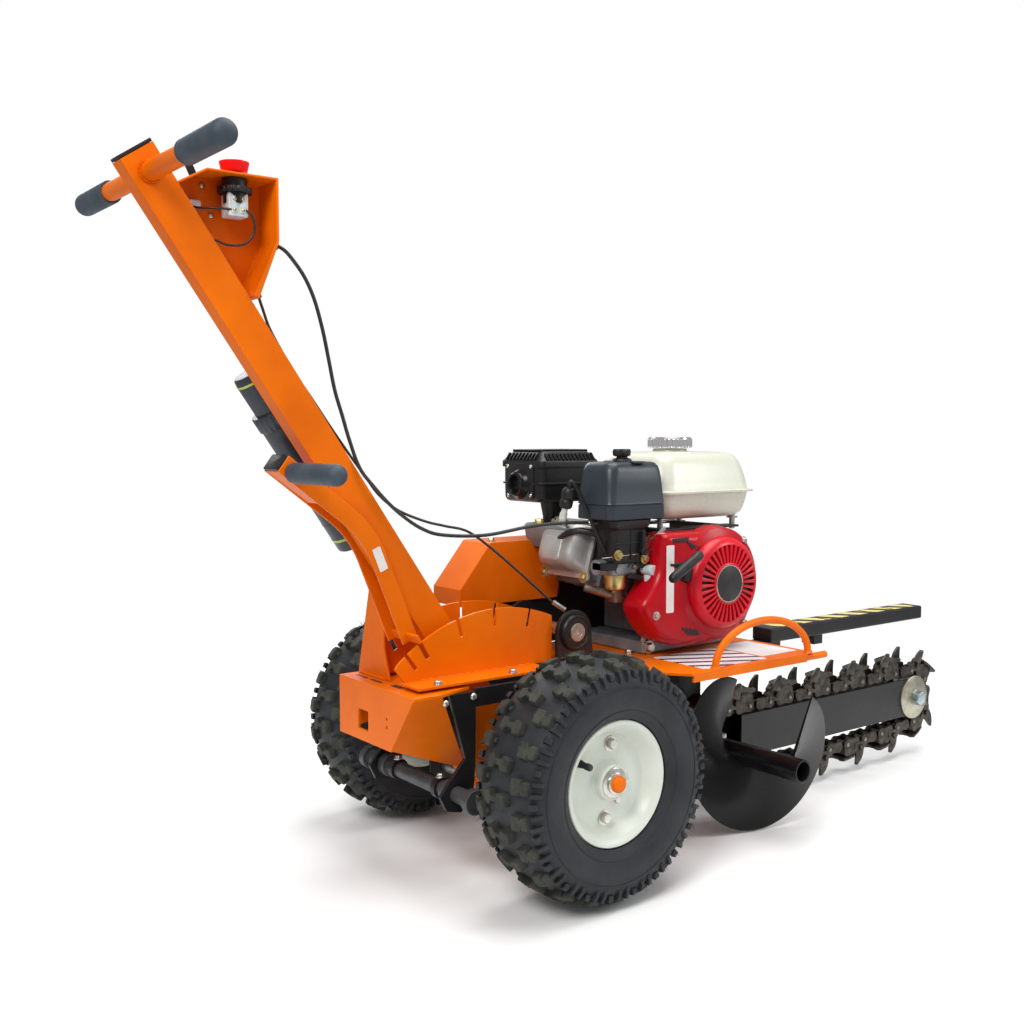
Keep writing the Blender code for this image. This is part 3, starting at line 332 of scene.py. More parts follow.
def ramp(tree, factor, stops):
    node = tree.nodes.new("ShaderNodeValToRGB")
    elements = node.color_ramp.elements
    while len(elements) < len(stops):
        elements.new(0.5)
    for element, (position, colour) in zip(elements, stops):
        element.position = position
        element.color = (*colour, 1.0) if len(colour) == 3 else colour
    tree.links.new(factor, node.inputs["Fac"])
    return node.outputs["Color"]


def math_node(tree, operation, one, two=None):
    node = tree.nodes.new("ShaderNodeMath")
    node.operation = operation
    for socket, value in zip(node.inputs, (one, two)):
        if value is None:
            continue
        if isinstance(value, (int, float)):
            socket.default_value = value
        else:
            tree.links.new(value, socket)
    return node.outputs["Value"]


def mix(tree, factor, one, two):
    node = tree.nodes.new("ShaderNodeMix")
    node.data_type = "RGBA"
    tree.links.new(factor, node.inputs["Factor"])
    for socket, value in ((node.inputs[6], one), (node.inputs[7], two)):
        if isinstance(value, tuple):
            socket.default_value = (*value, 1.0)
        else:
            tree.links.new(value, socket)
    return node.outputs[2]


def spread(tree, factor, low, high):
    node = tree.nodes.new("ShaderNodeMapRange")
    node.inputs["To Min"].default_value = low
    node.inputs["To Max"].default_value = high
    tree.links.new(factor, node.inputs["Value"])
    return node.outputs["Result"]


def bump(tree, shader, height, strength, distance):
    node = tree.nodes.new("ShaderNodeBump")
    node.inputs["Strength"].default_value = strength
    node.inputs["Distance"].default_value = distance
    tree.links.new(height, node.inputs["Height"])
    tree.links.new(node.outputs["Normal"], shader.inputs["Normal"])


ALL_DARK, ALL_LIGHT = 0.3, 0.62


def surface(name, light, dark, patch, rough, grain, depth, strength, metallic, specular):
    """A finish whose colour drifts between two tones, with uneven gloss and a fine relief."""
    made, tree, shader = new_material(name)
    tone = noise(tree, patch, 6.0, 0.6)
    colour = ramp(tree, tone, ((ALL_DARK, dark), (ALL_LIGHT, light)))
    tree.links.new(colour, shader.inputs["Base Color"])
    tree.links.new(spread(tree, noise(tree, patch * 7.0, 5.0), *rough), shader.inputs["Roughness"])
    shader.inputs["Metallic"].default_value = metallic
    shader.inputs["Specular IOR Level"].default_value = specular
    bump(tree, shader, noise(tree, grain, 3.0), strength, depth)
    return made


def striped(name, light, dark, direction, period, share, rough=(0.25, 0.4), worn=None):
    """Diagonal bands across a direction, with faint wear."""
    made, tree, shader = new_material(name)
    dot = tree.nodes.new("ShaderNodeVectorMath")
    dot.operation = "DOT_PRODUCT"
    dot.inputs[1].default_value = direction
    tree.links.new(coordinates(tree), dot.inputs[0])
    phase = math_node(tree, "FRACT", math_node(tree, "DIVIDE", dot.outputs["Value"], period))
    band = math_node(tree, "LESS_THAN", phase, share)
    colour = mix(tree, band, light, dark)
    if worn:
        mask = math_node(tree, "GREATER_THAN", noise(tree, 160.0, 8.0, 0.75), 0.63)
        colour = mix(tree, mask, colour, worn)
    tree.links.new(colour, shader.inputs["Base Color"])
    tree.links.new(spread(tree, noise(tree, 60.0), *rough), shader.inputs["Roughness"])
    bump(tree, shader, noise(tree, 1200.0, 2.0), 0.1, 0.0001)
    return made


# Each finish: its slot in the record, material name, two tones, the scale of their patches, the range of
# roughness, the grain's scale, depth and strength, and the metallic and specular levels.
FINISHES = {
    "orange": ("orange_paint", "orange_powder_coat", (0.82, 0.16, 0.0),
        (0.68, 0.12, 0.0), 6.0, (0.3, 0.44), 700.0, 0.0004, 0.1, 0.0, 0.16),
    "black": ("black_paint", "black_powder_coat", (0.011, 0.011, 0.012),
        (0.005, 0.005, 0.006), 11.0, (0.3, 0.46), 650.0, 0.0004, 0.14, 0.0, 0.4),
    "gloss": ("black_paint", "auger_black_enamel", (0.009, 0.009, 0.01),
        (0.004, 0.004, 0.005), 9.0, (0.2, 0.27), 420.0, 0.0002, 0.02, 0.0, 0.22),
    "moulded": ("black_plastic", "black_moulded_plastic", (0.013, 0.013, 0.014),
        (0.005, 0.005, 0.006), 20.0, (0.36, 0.52), 1500.0, 0.0002, 0.3, 0.0, 0.4),
    "rubber": ("tyre_rubber", "tyre_rubber", (0.023, 0.025, 0.029),
        (0.012, 0.013, 0.016), 16.0, (0.46, 0.66), 1300.0, 0.0003, 0.35, 0.0, 0.32),
    "knob": ("tyre_rubber", "tread_rubber", (0.046, 0.047, 0.036),
        (0.013, 0.014, 0.014), 55.0, (0.6, 0.82), 900.0, 0.0005, 0.4, 0.0, 0.35),
    "grip": ("grip_rubber", "slate_grip_foam", (0.05, 0.072, 0.095),
        (0.03, 0.042, 0.058), 26.0, (0.5, 0.66), 1800.0, 0.0003, 0.5, 0.0, 0.4),
    "slate": ("slate_plastic", "air_cleaner_plastic", (0.027, 0.037, 0.048),
        (0.02, 0.029, 0.038), 12.0, (0.28, 0.4), 1300.0, 0.0002, 0.25, 0.0, 0.42),
    "white": ("rim_white", "rim_white_enamel", (0.66, 0.7, 0.63),
        (0.58, 0.62, 0.54), 10.0, (0.26, 0.4), 600.0, 0.0003, 0.1, 0.0, 0.5),
    "cream": ("tank_cream", "tank_cream_plastic", (0.61, 0.62, 0.52),
        (0.58, 0.59, 0.49), 7.0, (0.24, 0.3), 900.0, 0.0002, 0.1, 0.0, 0.5),
    "red": ("cowl_red", "cowl_red_paint", (0.47, 0.003, 0.011),
        (0.36, 0.002, 0.008), 8.0, (0.2, 0.3), 700.0, 0.0003, 0.1, 0.0, 0.26),
    "starter": ("starter_red", "starter_red_plastic", (0.64, 0.002, 0.016),
        (0.5, 0.001, 0.01), 14.0, (0.26, 0.4), 900.0, 0.0003, 0.15, 0.0, 0.4),
    "button": ("button_red", "button_red_plastic", (0.78, 0.001, 0.004),
        (0.66, 0.001, 0.002), 20.0, (0.3, 0.42), 1200.0, 0.0002, 0.1, 0.0, 0.35),
    "zinc": ("zinc", "zinc_plate", (0.66, 0.64, 0.58), (0.46, 0.45, 0.42),
        60.0, (0.24, 0.42), 900.0, 0.0002, 0.2, 1.0, 0.5),
    "golden": ("zinc", "yellow_zinc", (0.72, 0.58, 0.26), (0.5, 0.38, 0.15),
        70.0, (0.25, 0.45), 900.0, 0.0002, 0.2, 1.0, 0.5),
    "steel": ("steel", "turned_steel", (0.58, 0.58, 0.57), (0.4, 0.4, 0.4),
        30.0, (0.25, 0.42), 800.0, 0.0002, 0.2, 1.0, 0.5),
    "cast": ("alloy", "cast_aluminium", (0.6, 0.6, 0.58), (0.42, 0.42, 0.41),
        24.0, (0.42, 0.62), 480.0, 0.0006, 0.4, 0.75, 0.5),
    "bronze": ("steel", "bronze_bush", (0.42, 0.36, 0.3), (0.26, 0.22, 0.18),
        60.0, (0.34, 0.5), 900.0, 0.0003, 0.3, 0.9, 0.5),
    "chain": ("chain_steel", "oiled_chain_steel", (0.075, 0.062, 0.05),
        (0.016, 0.014, 0.013), 70.0, (0.24, 0.52), 500.0, 0.0005, 0.4, 0.85, 0.5),
    "blade": ("chain_steel", "cutter_steel", (0.095, 0.082, 0.068),
        (0.022, 0.019, 0.016), 85.0, (0.26, 0.5), 500.0, 0.0005, 0.45, 0.8, 0.5),
    "rivet": ("steel", "worn_rivet_steel", (0.3, 0.27, 0.23), (0.09, 0.08, 0.07),
        120.0, (0.25, 0.45), 600.0, 0.0003, 0.3, 0.9, 0.5),
    "tube": ("black_paint", "dark_grey_tube", (0.085, 0.088, 0.092),
        (0.04, 0.042, 0.045), 18.0, (0.32, 0.5), 700.0, 0.0004, 0.2, 0.4, 0.5),
    "casing": ("alloy", "grey_blue_casting", (0.3, 0.335, 0.355),
        (0.15, 0.17, 0.185), 22.0, (0.38, 0.58), 480.0, 0.0006, 0.4, 0.55, 0.5),
    "pipe": ("alloy", "heat_browned_pipe", (0.26, 0.2, 0.165), (0.13, 0.1, 0.085),
        40.0, (0.3, 0.48), 700.0, 0.0003, 0.25, 0.8, 0.5),
    "chrome": ("chrome", "chrome_plate", (0.93, 0.93, 0.95), (0.86, 0.87, 0.9),
        40.0, (0.04, 0.09), 900.0, 0.0001, 0.1, 1.0, 0.5),
    "grey": ("slate_plastic", "grey_contact_plastic", (0.62, 0.68, 0.7),
        (0.48, 0.54, 0.57), 60.0, (0.35, 0.5), 900.0, 0.0002, 0.2, 0.0, 0.5),
    "cable": ("black_plastic", "cable_sheath", (0.02, 0.02, 0.021),
        (0.01, 0.01, 0.011), 90.0, (0.35, 0.5), 1600.0, 0.0002, 0.3, 0.0, 0.5),
    "washer": ("steel", "yellowed_washer", (0.5, 0.48, 0.38), (0.27, 0.25, 0.19),
        45.0, (0.32, 0.5), 700.0, 0.0003, 0.3, 0.9, 0.5),
    "bluish": ("steel", "blue_zinc_bolt", (0.52, 0.62, 0.66), (0.34, 0.42, 0.47),
        70.0, (0.22, 0.4), 700.0, 0.0003, 0.25, 1.0, 0.5),
    "marker": ("zinc", "ring_mark_yellow", (0.46, 0.55, 0.1), (0.3, 0.4, 0.07),
        40.0, (0.35, 0.5), 900.0, 0.0002, 0.2, 0.0, 0.5),
    "pale": ("rim_white", "plain_label", (0.82, 0.81, 0.79), (0.74, 0.7, 0.68),
        30.0, (0.25, 0.4), 900.0, 0.0001, 0.1, 0.0, 0.5),
}
PAINT = {key: surface(*row[1:]) for key, row in FINISHES.items()}
PAINT["strip"] = striped("deck_label_stripes", (0.8, 0.78, 0.8),
    (0.1, 0.018, 0.035), (0.55, 1.0, 0.0), 0.034, 0.36, worn=(0.55, 0.5, 0.52))
PAINT["tape"] = striped("guard_bar_tape", (0.72, 0.6, 0.2), (0.03, 0.028, 0.026),
    (1.0, 0.8, 0.0), 0.056, 0.5, (0.4, 0.6), worn=(0.34, 0.3, 0.16))
SLOTS = {key: row[0] for key, row in FINISHES.items()}
SLOTS.update(strip="rim_white", tape="black_plastic")


# --- Putting pieces in place ---


def joined(meshes):
    bm = bmesh.new()
    for mesh in meshes:
        bm.from_mesh(mesh)
    made = bpy.data.meshes.new("joined")
    bm.to_mesh(made)
    bm.free()
    return made


def soften(obj, width):
    """Rounds the sharp edges and keeps large faces flat under the light."""
    if width:
        bevel = obj.modifiers.new("Edges", "BEVEL")
        bevel.width = width
        bevel.segments = 2
        bevel.limit_method = "ANGLE"
        bevel.angle_limit = math.radians(32)
        bevel.use_clamp_overlap = True
    weighted = obj.modifiers.new("Normals", "WEIGHTED_NORMAL")
    weighted.weight = 60
    weighted.keep_sharp = True


def piece(name, meshes, paint, replaces=(), body="chassis", bevel=0.0, sharp=40.0, ride=True):
    mesh = joined(meshes if isinstance(meshes, (list, tuple)) else [meshes])
    mesh.materials.append(PAINT[paint])
    obj = bpy.data.objects.new(name, mesh)
    bpy.context.scene.collection.objects.link(obj)
    obj.location.x = -MIDDLE_X
    mesh.shade_smooth()
    if bevel:
        soften(obj, bevel)
    else:
        mesh.set_sharp_from_angle(angle=math.radians(sharp))
    if ride:
        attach(obj, body)
    if replaces:
        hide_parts(*replaces)
    return obj


def carried_over(node, paint, bevel):
    """A CAD node that is shown: its new finish, and soft edges."""
    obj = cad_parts[node]
    mesh = obj.data
    mesh.materials.clear()
    mesh.materials.append(PAINT[paint])
    for name in ("custom_normal", "sharp_edge", "sharp_face"):
        if name in mesh.attributes:
            mesh.attributes.remove(mesh.attributes[name])
    mesh.polygons.foreach_set("material_index", [0] * len(mesh.polygons))
    mesh.shade_smooth()
    weld = obj.modifiers.new("Weld", "WELD")
    weld.merge_threshold = 0.00001
    soften(obj, bevel)


# The CAD nodes that show in their own shape: finish, width of their softened edges, and names.
CARRIED_OVER = (
    ("orange", 0.0012, ("rear_tub", "rear_upright",
        "quadrant_plate_right", "quadrant_plate_left", "belly_panel")),
    ("orange", 0.0013, ("engine_deck",)),
    ("orange", 0.0014, ("belt_cover",)),
    ("orange", 0.0016, ("mast_tube",)),
    ("orange", 0.0007, ("control_box",)),
    ("black", 0.0012, ("frame_plate_right", "frame_plate_left", "boom_bar", "boom_carrier")),
    ("black", 0.0012, ("jackshaft_bearing_right", "jackshaft_bearing_left")),
    ("black", 0.0008, ("stub_axle_right", "stub_axle_left")),
    ("black", 0.0015, ("safety_bar",)),
    ("steel", 0.0008, ("mast_pivot_pin", "jackshaft", "crankshaft")),
    ("steel", 0.001, ("nose_roller",)),
    ("chain", 0.0006, ("digging_sprocket",)),
    ("casing", 0.0015, ("engine_block",)),
    ("tube", 0.001, ("cross_tube",)),
    ("cable", 0.001, ("drive_belt",)),
    ("moulded", 0.0008, ("choke_lever",)),
    ("moulded", 0.001, ("throttle_lever",)),
    ("moulded", 0.0012, ("mast_cap",)),
)


def mast_matrix():
    return Matrix.Translation(PIVOT) @ Matrix.Rotation(-MAST_LEAN, 4,
        "Y") @ Matrix.Translation((MAST_OFFSET, 0, 0))


def on_mast(across, y, up):
    return mast_matrix() @ Vector((across, y, up))


MAST_UP = (on_mast(0, 0, 1) - on_mast(0, 0, 0)).normalized()

# --- Wheels ---

TYRE_STEPS = 144
PITCHES = 22
CROWN_RADIUS = 0.1668


def crown(distance):
    """The radius of the tyre's casing at a distance from its middle."""
    share = min(abs(distance) / 0.058, 1.0)
    return CROWN_RADIUS - 0.0115 * share ** 2.4


def tyre_profile():
    half = [(0.0845, 0.0415), (0.0905, 0.0455), (0.091, 0.053), (0.0965, 0.0562), (0.1, 0.06),
        (0.108, 0.064), (0.12, 0.0662), (0.133, 0.0664), (0.144, 0.0648), (0.1515, 0.0615),
        (crown(0.056), 0.056), (crown(0.048), 0.048), (crown(0.036), 0.036), (crown(0.02), 0.02)]
    return half + [(CROWN_RADIUS, 0.0)] + [(radius, -distance) for radius, distance in half[::-1]]


def tread_point(angle, distance, radius):
    return (radius * math.cos(angle), radius * math.sin(angle), distance)


def knob(outline, height, draft=0.0014):
    """A tread block. The outline holds (distance along the tread, distance across it) pairs."""
    middle = [sum(values) / len(outline) for values in zip(*outline)]
    rings = []
    for level, shrink in ((-0.003, 0.0), (0.35, 0.0), (0.86, 0.75), (1.0, 1.6)):
        ring = []
        for along, across in outline:
            inward = Vector((middle[0] - along, middle[1] - across))
            spot = Vector((along, across)) + inward.normalized() * draft * shrink
            base = crown(spot.y)
            reach = base - 0.003 if level < 0 else min(base + height * level, WHEEL_RADIUS - 0.0002)
            ring.append(tread_point(spot.x / CROWN_RADIUS, spot.y, reach))
        rings.append(ring)
    return rings


def moved(outline, along, flip=1.0, turn=1.0):
    return [(along + u * turn, v * flip) for u, v in outline]


CENTRE_BLOCK = [(-0.01, -0.0215), (0.006, -0.023), (0.01, -0.011), (0.0035, -0.007),
    (0.0035, 0.007), (0.01, 0.011), (0.006, 0.023), (-0.01, 0.0215), (-0.0105, 0.01),
    (-0.0045, 0.006), (-0.0045, -0.006), (-0.0105, -0.01)]
SHOULDER_BLOCK = [(-0.011, 0.031), (0.0105, 0.03), (0.0115, 0.044), (0.005, 0.047), (0.01, 0.05),
    (0.0085, 0.057), (-0.0085, 0.057), (-0.0105, 0.049), (-0.006, 0.046), (-0.0115, 0.042)]


def side_rib(angle, side, inner, outer, width=0.0052):
    """A short rib on the tyre's shoulder that runs down its side wall."""
    rings = []
    for radius, bulge in ((inner, 0.0008), (inner + 0.004, 0.003),
            ((inner + outer) / 2, 0.004), (outer, 0.0042)):
        wall = side_wall(radius)
        half = width / 2 / radius
        proud = min(wall + bulge, TYRE_HALF_WIDTH - 0.0002)
        ring = []
        for turn, depth in ((-half * 1.25, wall - 0.004),
                (half * 1.25, wall - 0.004), (half, proud), (-half, proud)):
            ring.append(tread_point(angle + turn, side * depth, radius))
        rings.append(ring)
    return loft(rings)


def side_wall(radius):
    """How far out the casing's side wall stands at a radius."""
    share = (radius - 0.128) / 0.036
    return 0.0665 - 0.0095 * abs(share) ** 2.2 if share > 0 else 0.0665


def tyre_tread():
    meshes = []
    pitch = math.tau * CROWN_RADIUS / PITCHES
    for step in range(PITCHES):
        along = step * pitch
        turn = 1.0 if step % 2 else -1.0
        meshes.append(loft(knob(moved(CENTRE_BLOCK, along, 1.0, turn), 0.0106)))
        for flip in (-1.0, 1.0):
            shift = along + pitch * 0.5
            meshes.append(loft(knob(moved(SHOULDER_BLOCK, shift, flip, turn), 0.0098)))
            bridge = [(-0.0035, 0.0235), (0.0035, 0.0235), (0.0035, 0.03), (-0.0035, 0.03)]
            meshes.append(loft(knob(moved(bridge, shift, flip), 0.0042)))
    return meshes


def tyre_ribs():
    meshes = []
    for step in range(PITCHES):
        for offset in (-0.17, 0.17):
            angle = math.tau * (step + 0.5 + offset) / PITCHES
            for side in (-1, 1):
                meshes.append(side_rib(angle, side, 0.144, 0.161))
        for side in (-1, 1):
            angle = math.tau * step / PITCHES
            meshes.append(side_rib(angle, side, 0.151, 0.1605, 0.008))
    return meshes


def mould_rings():
    """Thin raised rings moulded round the side walls."""
    meshes = []
    for side in (-1, 1):
        for radius, width in ((0.1045, 0.0014), (0.1375, 0.0012)):
            wall = side_wall(radius) if radius > 0.11 else 0.0625
            profile = [(radius - width, side * (wall - 0.002)), (radius - width * 0.4,
                side * (wall + 0.0007)), (radius + width * 0.4,
                side * (wall + 0.0007)), (radius + width, side * (wall - 0.002))]
            meshes.append(turned(profile, (0, 0, 0), UP, 96, looped=True))
    return meshes


def mould_hairs(rng):
    """Short moulding hairs left standing on the new tread."""
    meshes = []
    for _ in range(170):
        angle = rng.uniform(0, math.tau)
        side = rng.choice((-1, 1))
        distance = side * rng.uniform(0.0555, 0.0625)
        radius = rng.uniform(0.158, 0.1625)
        start = Vector(tread_point(angle, distance, radius - 0.004))
        out = Vector((math.cos(angle + rng.uniform(-0.5, 0.5)),
            math.sin(angle + rng.uniform(-0.5, 0.5)), side * 0.15))
        tip = start + out.normalized() * rng.uniform(0.007, 0.0115)
        meshes.append(rod(start, tip, 0.0004, 5, end_radius=0.0002, edge=0.0001))
    return meshes


def placed(meshes, matrix):
    for mesh in meshes:
        mesh.transform(matrix)
    return meshes


def rim_profile():
    """Pressed wheel: rolled lip, curved dish, flat centre and hub tube, with the well behind."""
    front = [(0.0132, 0.044), (0.024, 0.044), (0.0255, 0.0425), (0.0262, 0.033), (0.029, 0.0305),
        (0.042, 0.0296), (0.06, 0.0288), (0.066, 0.03), (0.071, 0.0345), (0.075, 0.0415),
        (0.0785, 0.047), (0.082, 0.05), (0.085, 0.0514), (0.088, 0.0518),
        (0.0893, 0.0505), (0.0893, 0.0478), (0.0865, 0.0468), (0.0825, 0.042)]
    rear = [(0.0825, -0.043), (0.0885, -0.0478), (0.0893, -0.0518), (0.086, -0.0518), (0.079, -0.045),
        (0.077, -0.04), (0.077, 0.018), (0.062, 0.02), (0.026, 0.024), (0.026, -0.045)]
    return front + rear + [(0.0132, -0.045)]


def rim_hardware():
    """Lug bolts on the dish, and their washers."""
    meshes = []
    for angle, radius, size in ((84, 0.052, 0.0135), (264, 0.052, 0.0135),
            (354, 0.031, 0.0115), (300, 0.033, 0.0115)):
        spot = Vector((radius * math.cos(math.radians(angle)),
            radius * math.sin(math.radians(angle)), 0.029))
        meshes += bolt(spot, UP, size)
    return meshes


def valve_stem():
    angle = math.radians(148)
    spot = Vector((0.066 * math.cos(angle), 0.066 * math.sin(angle), 0.0295))
    way = Vector((-math.cos(angle) * 0.25, -math.sin(angle) * 0.25, 1.0)).normalized()
    profile = [(0.0062, 0.0), (0.0058, 0.006), (0.0046, 0.012), (0.0042, 0.016),
        (0.005, 0.0165), (0.005, 0.0235), (0.004, 0.025), (0.0, 0.0252)]
    return spot, way, turned(profile, spot, way, 20)


def wheel(name, side):
    body = f"wheel_{name}"
    centre = Vector((0, side * WHEEL_Y, WHEEL_RADIUS))
    # Wheel coordinates: Z runs out of the wheel's outer face, and X stays level.
    turn = Matrix.Rotation(math.radians(-90.0 * side), 4, "X")
    place = Matrix.Translation(centre) @ turn
    rng = random.Random(11 if side < 0 else 12)
    casing = turned(tyre_profile(), (0, 0, 0), UP, TYRE_STEPS, looped=True)
    piece(f"tyre_casing_{name}", placed([casing, *mould_rings()],
        place), "rubber", (f"tyre_{name}",), body=body)
    piece(f"tyre_tread_{name}", placed(tyre_tread(), place), "knob", body=body, bevel=0.0008)
    piece(f"tyre_shoulder_ribs_{name}", placed(tyre_ribs(), place), "rubber", body=body, bevel=0.0006)
    piece(f"tyre_hairs_{name}", placed(mould_hairs(rng), place), "rubber", body=body)
    rim = turned(rim_profile(), (0, 0, 0), UP, 96, looped=True)
    piece(f"wheel_dish_{name}", placed([rim], place), "white", (f"rim_{name}",), body=body, sharp=30)
    piece(f"lug_bolts_{name}", placed(rim_hardware(), place), "zinc", body=body)
    spot, way, stem = valve_stem()
    piece(f"valve_stem_{name}", placed([stem], place), "moulded", body=body)
    collar = turned([(0.0, 0.0), (0.0085, 0.0), (0.008, 0.0022),
        (0.0064, 0.004), (0.0, 0.004)], spot, way, 20)
    piece(f"valve_collar_{name}", placed([collar], place), "marker", body=body)
    washer = turned([(0.0, 0.0435), (0.0215, 0.0435), (0.0215, 0.0455),
        (0.0205, 0.0462), (0.0, 0.0462)], (0, 0, 0), UP, 48)
    nut = turned([(0.015, 0.046), (0.015, 0.05), (0.0142, 0.0506), (0.0, 0.0506)], (0, 0, 0), UP, 48)
    piece(f"axle_washer_{name}", placed([washer, nut], place), "zinc", body=body)
    cap = [(0.0118, 0.05), (0.012, 0.0535), (0.0112, 0.0565),
        (0.0088, 0.0588), (0.0048, 0.06), (0.0, 0.0603)]
    piece(f"axle_cap_{name}", placed([turned(cap, (0, 0, 0), UP, 40)],
        place), "orange", (f"hub_cap_{name}",), body=body)


def make_wheels():
    wheel("right", -1.0)
    wheel("left", 1.0)


# --- Digging boom, chain and auger ---

LINK_PITCH = 0.0275
CHAIN_PHASE = 0.0636


def chain_route(outset, steps=40):
    """Points (x, z) of the digging chain's loop at a distance from its inner edge, sagging below the bar."""
    rear, front = 0.0425 + outset, 0.0455 + outset
    span = NOSE.x - HEAD_SHAFT.x
    route = arc(NOSE.x, NOSE.z, front, -90, 90, 24)
    route += arc(HEAD_SHAFT.x, HEAD_SHAFT.z, rear, 90, 270, 24)
    for step in range(1, steps):
        share = step / steps
        droop = 0.014 * 4 * share * (1 - share)
        route.append((HEAD_SHAFT.x + span * share, HEAD_SHAFT.z - rear + (rear - front) * share - droop))
    return [Vector((x, 0.0, z)) for x, z in route]


def stations(route, pitch, phase=0.0):
    """Evenly spaced points round a closed route, a multiple of four, the first one phase along it."""
    ends = route[1:] + route[:1]
    lengths = [(end - start).length for start, end in zip(route, ends)]
    total = sum(lengths)
    number = 4 * round(total / pitch / 4)
    found = []
    for link in range(number):
        left, index = (link * total / number + phase) % total, 0
        while left > lengths[index]:
            left -= lengths[index]
            index += 1
        found.append(route[index].lerp(ends[index], left / lengths[index]))
    return found


def link_matrix(one, two, y):
    """Link coordinates: X along the link from its first pin, Y across, Z out of the chain's loop."""
    along = (two - one).normalized()
    out = Vector((along.z, 0.0, -along.x))
    across = out.cross(along)
    turn = Matrix((along, across, out)).transposed().to_4x4()
    return Matrix.Translation((one.x, y, one.z)) @ turn


def side_plate(length, height, y, thick):
    """A link plate with round ends and a slight waist."""
    half = height / 2
    outline = arc(length, 0, half, -90, 90, 8) + [(length / 2, half * 0.8)] + arc(0, 0, half, 90, 270, 8)
    outline += [(length / 2, -half * 0.8)]
    return plate(outline, "xz", y, thick)


def digging_link(length, index):
    outer = index % 2 == 0
    y, height = (0.015, 0.0215) if outer else (0.011, 0.017)
    meshes = [side_plate(length, height, side * y, 0.0036) for side in (-1, 1)]
    meshes.append(rod((0, -0.01, 0), (0, 0.01, 0), 0.0062, 16))
    return meshes


def digging_pin():
    return [rod((0, -0.0186, 0), (0, 0.0186, 0), 0.0042, 16, edge=0.0012)]


def tooth(side):
    """A fin-shaped cutter at one edge of the chain, upright in front and curved behind, on a clamped foot."""
    rings = []
    for front, rear, up, out in ((0.0, 0.025, 0.008, 0.014), (-0.0008, 0.0248, 0.016, 0.0148),
            (-0.0018, 0.0232, 0.023, 0.0158), (-0.0028, 0.0196, 0.03, 0.0166),
            (-0.0034, 0.0148, 0.036, 0.017), (-0.0036, 0.009, 0.041,
            0.017), (-0.003, 0.0034, 0.0448, 0.0168)):
        middle, edge = (rear + front) / 2, (rear - front) * 0.08
        ring = [(front, out + 0.0014), (middle, out + 0.0028), (rear, out + 0.001),
            (rear - edge, out - 0.004), (middle, out - 0.0036), (front + edge, out - 0.004)]
        rings.append([(x, side * y, up) for x, y in ring])
    foot = plate([(-0.006, 0.0), (-0.005, 0.013), (0.004, 0.0165), (0.024, 0.016),
        (0.031, 0.01), (0.031, 0.0)], "xz", side * 0.012, 0.012)
    nut = turned([(0.0, 0.0), (0.0062, 0.0), (0.0062, 0.004), (0.0052, 0.005),
        (0.0, 0.005)], (0.012, side * 0.0178, 0.012), (0, side, 0), 6)
    return [loft(rings), foot, nut]


def scraper(side):
    """A flat shovel plate, pointed to the rear, on a saddle as wide as the chain."""
    rings = []
    for along, half, lift in ((-0.016, 0.012, 0.0255), (-0.0135, 0.0205, 0.025),
            (0.004, 0.0215, 0.0232), (0.02, 0.019, 0.0226), (0.029, 0.012, 0.0232), (0.033, 0.004, 0.024)):
        section = [(-half, 0.0012), (-half * 0.5, -0.0008), (half * 0.5, -0.0008), (half, 0.0012),
            (half, 0.0056), (half * 0.5, 0.0036), (-half * 0.5, 0.0036), (-half, 0.0056)]
        rings.append([(along, across + side * 0.002, lift + up) for across, up in section])
    saddle = plate([(-0.009, 0.002), (-0.008, 0.018), (-0.004, 0.0232),
        (0.022, 0.0232), (0.03, 0.016), (0.03, 0.002)], "xz", 0.0, 0.033)
    return [loft(rings), saddle]


def make_digging_chain():
    route = stations(chain_route(0.0088), LINK_PITCH, CHAIN_PHASE)
    links, pins, cutters = [], [], []
    count = len(route)
    for index, point in enumerate(route):
        after = route[(index + 1) % count]
        place = link_matrix(point, after, BOOM_Y)
        length = (after - point).length
        links += placed(digging_link(length, index), place)
        if index % 2 == 0:
            pins += placed(digging_pin(), place)
        if index % 4 == 2:
            cutters += placed(scraper(1 if index % 8 < 4 else -1), place)
        elif index % 4 != 1:
            cutters += placed(tooth(-1 if index % 4 == 0 else 1), place)
    piece("digging_chain_links", links, "chain", ("digging_chain",), bevel=0.0006)
    piece("digging_chain_cutters", cutters, "blade", bevel=0.0007)
    piece("digging_chain_rivets", pins, "rivet")


def make_final_chain():
    """Roller chain from the jackshaft's sprocket down to the head shaft's."""
    small, large = 0.0225 + 0.004, 0.0505 + 0.004
    span = HEAD_SHAFT - JACKSHAFT
    heading = math.degrees(math.atan2(span.z, span.x))
    lean = math.degrees(math.asin((small - large) / span.length))
    top, bottom = heading + 90 - lean, heading - 90 + lean
    route = arc(HEAD_SHAFT.x, HEAD_SHAFT.z, large, bottom, top, 24)
    route += arc(JACKSHAFT.x, JACKSHAFT.z, small, top, bottom + 360, 16)
    points = stations([Vector((x, 0, z)) for x, z in route], 0.0127)
    links, rollers = [], []
    for index, point in enumerate(points):
        after = points[(index + 1) % len(points)]
        place = link_matrix(point, after, FINAL_CHAIN_Y)
        y = 0.004 if index % 2 else 0.0028
        plates = [side_plate((after - point).length, 0.0085, side * y, 0.0011) for side in (-1, 1)]
        links += placed(plates, place)
        rollers += placed([rod((0, -0.0046, 0), (0, 0.0046, 0), 0.003, 12, edge=0.0003)], place)
    piece("drive_chain_links", links, "chain", ("final_drive_chain",), bevel=0.0003)
    piece("drive_chain_rollers", rollers, "steel")


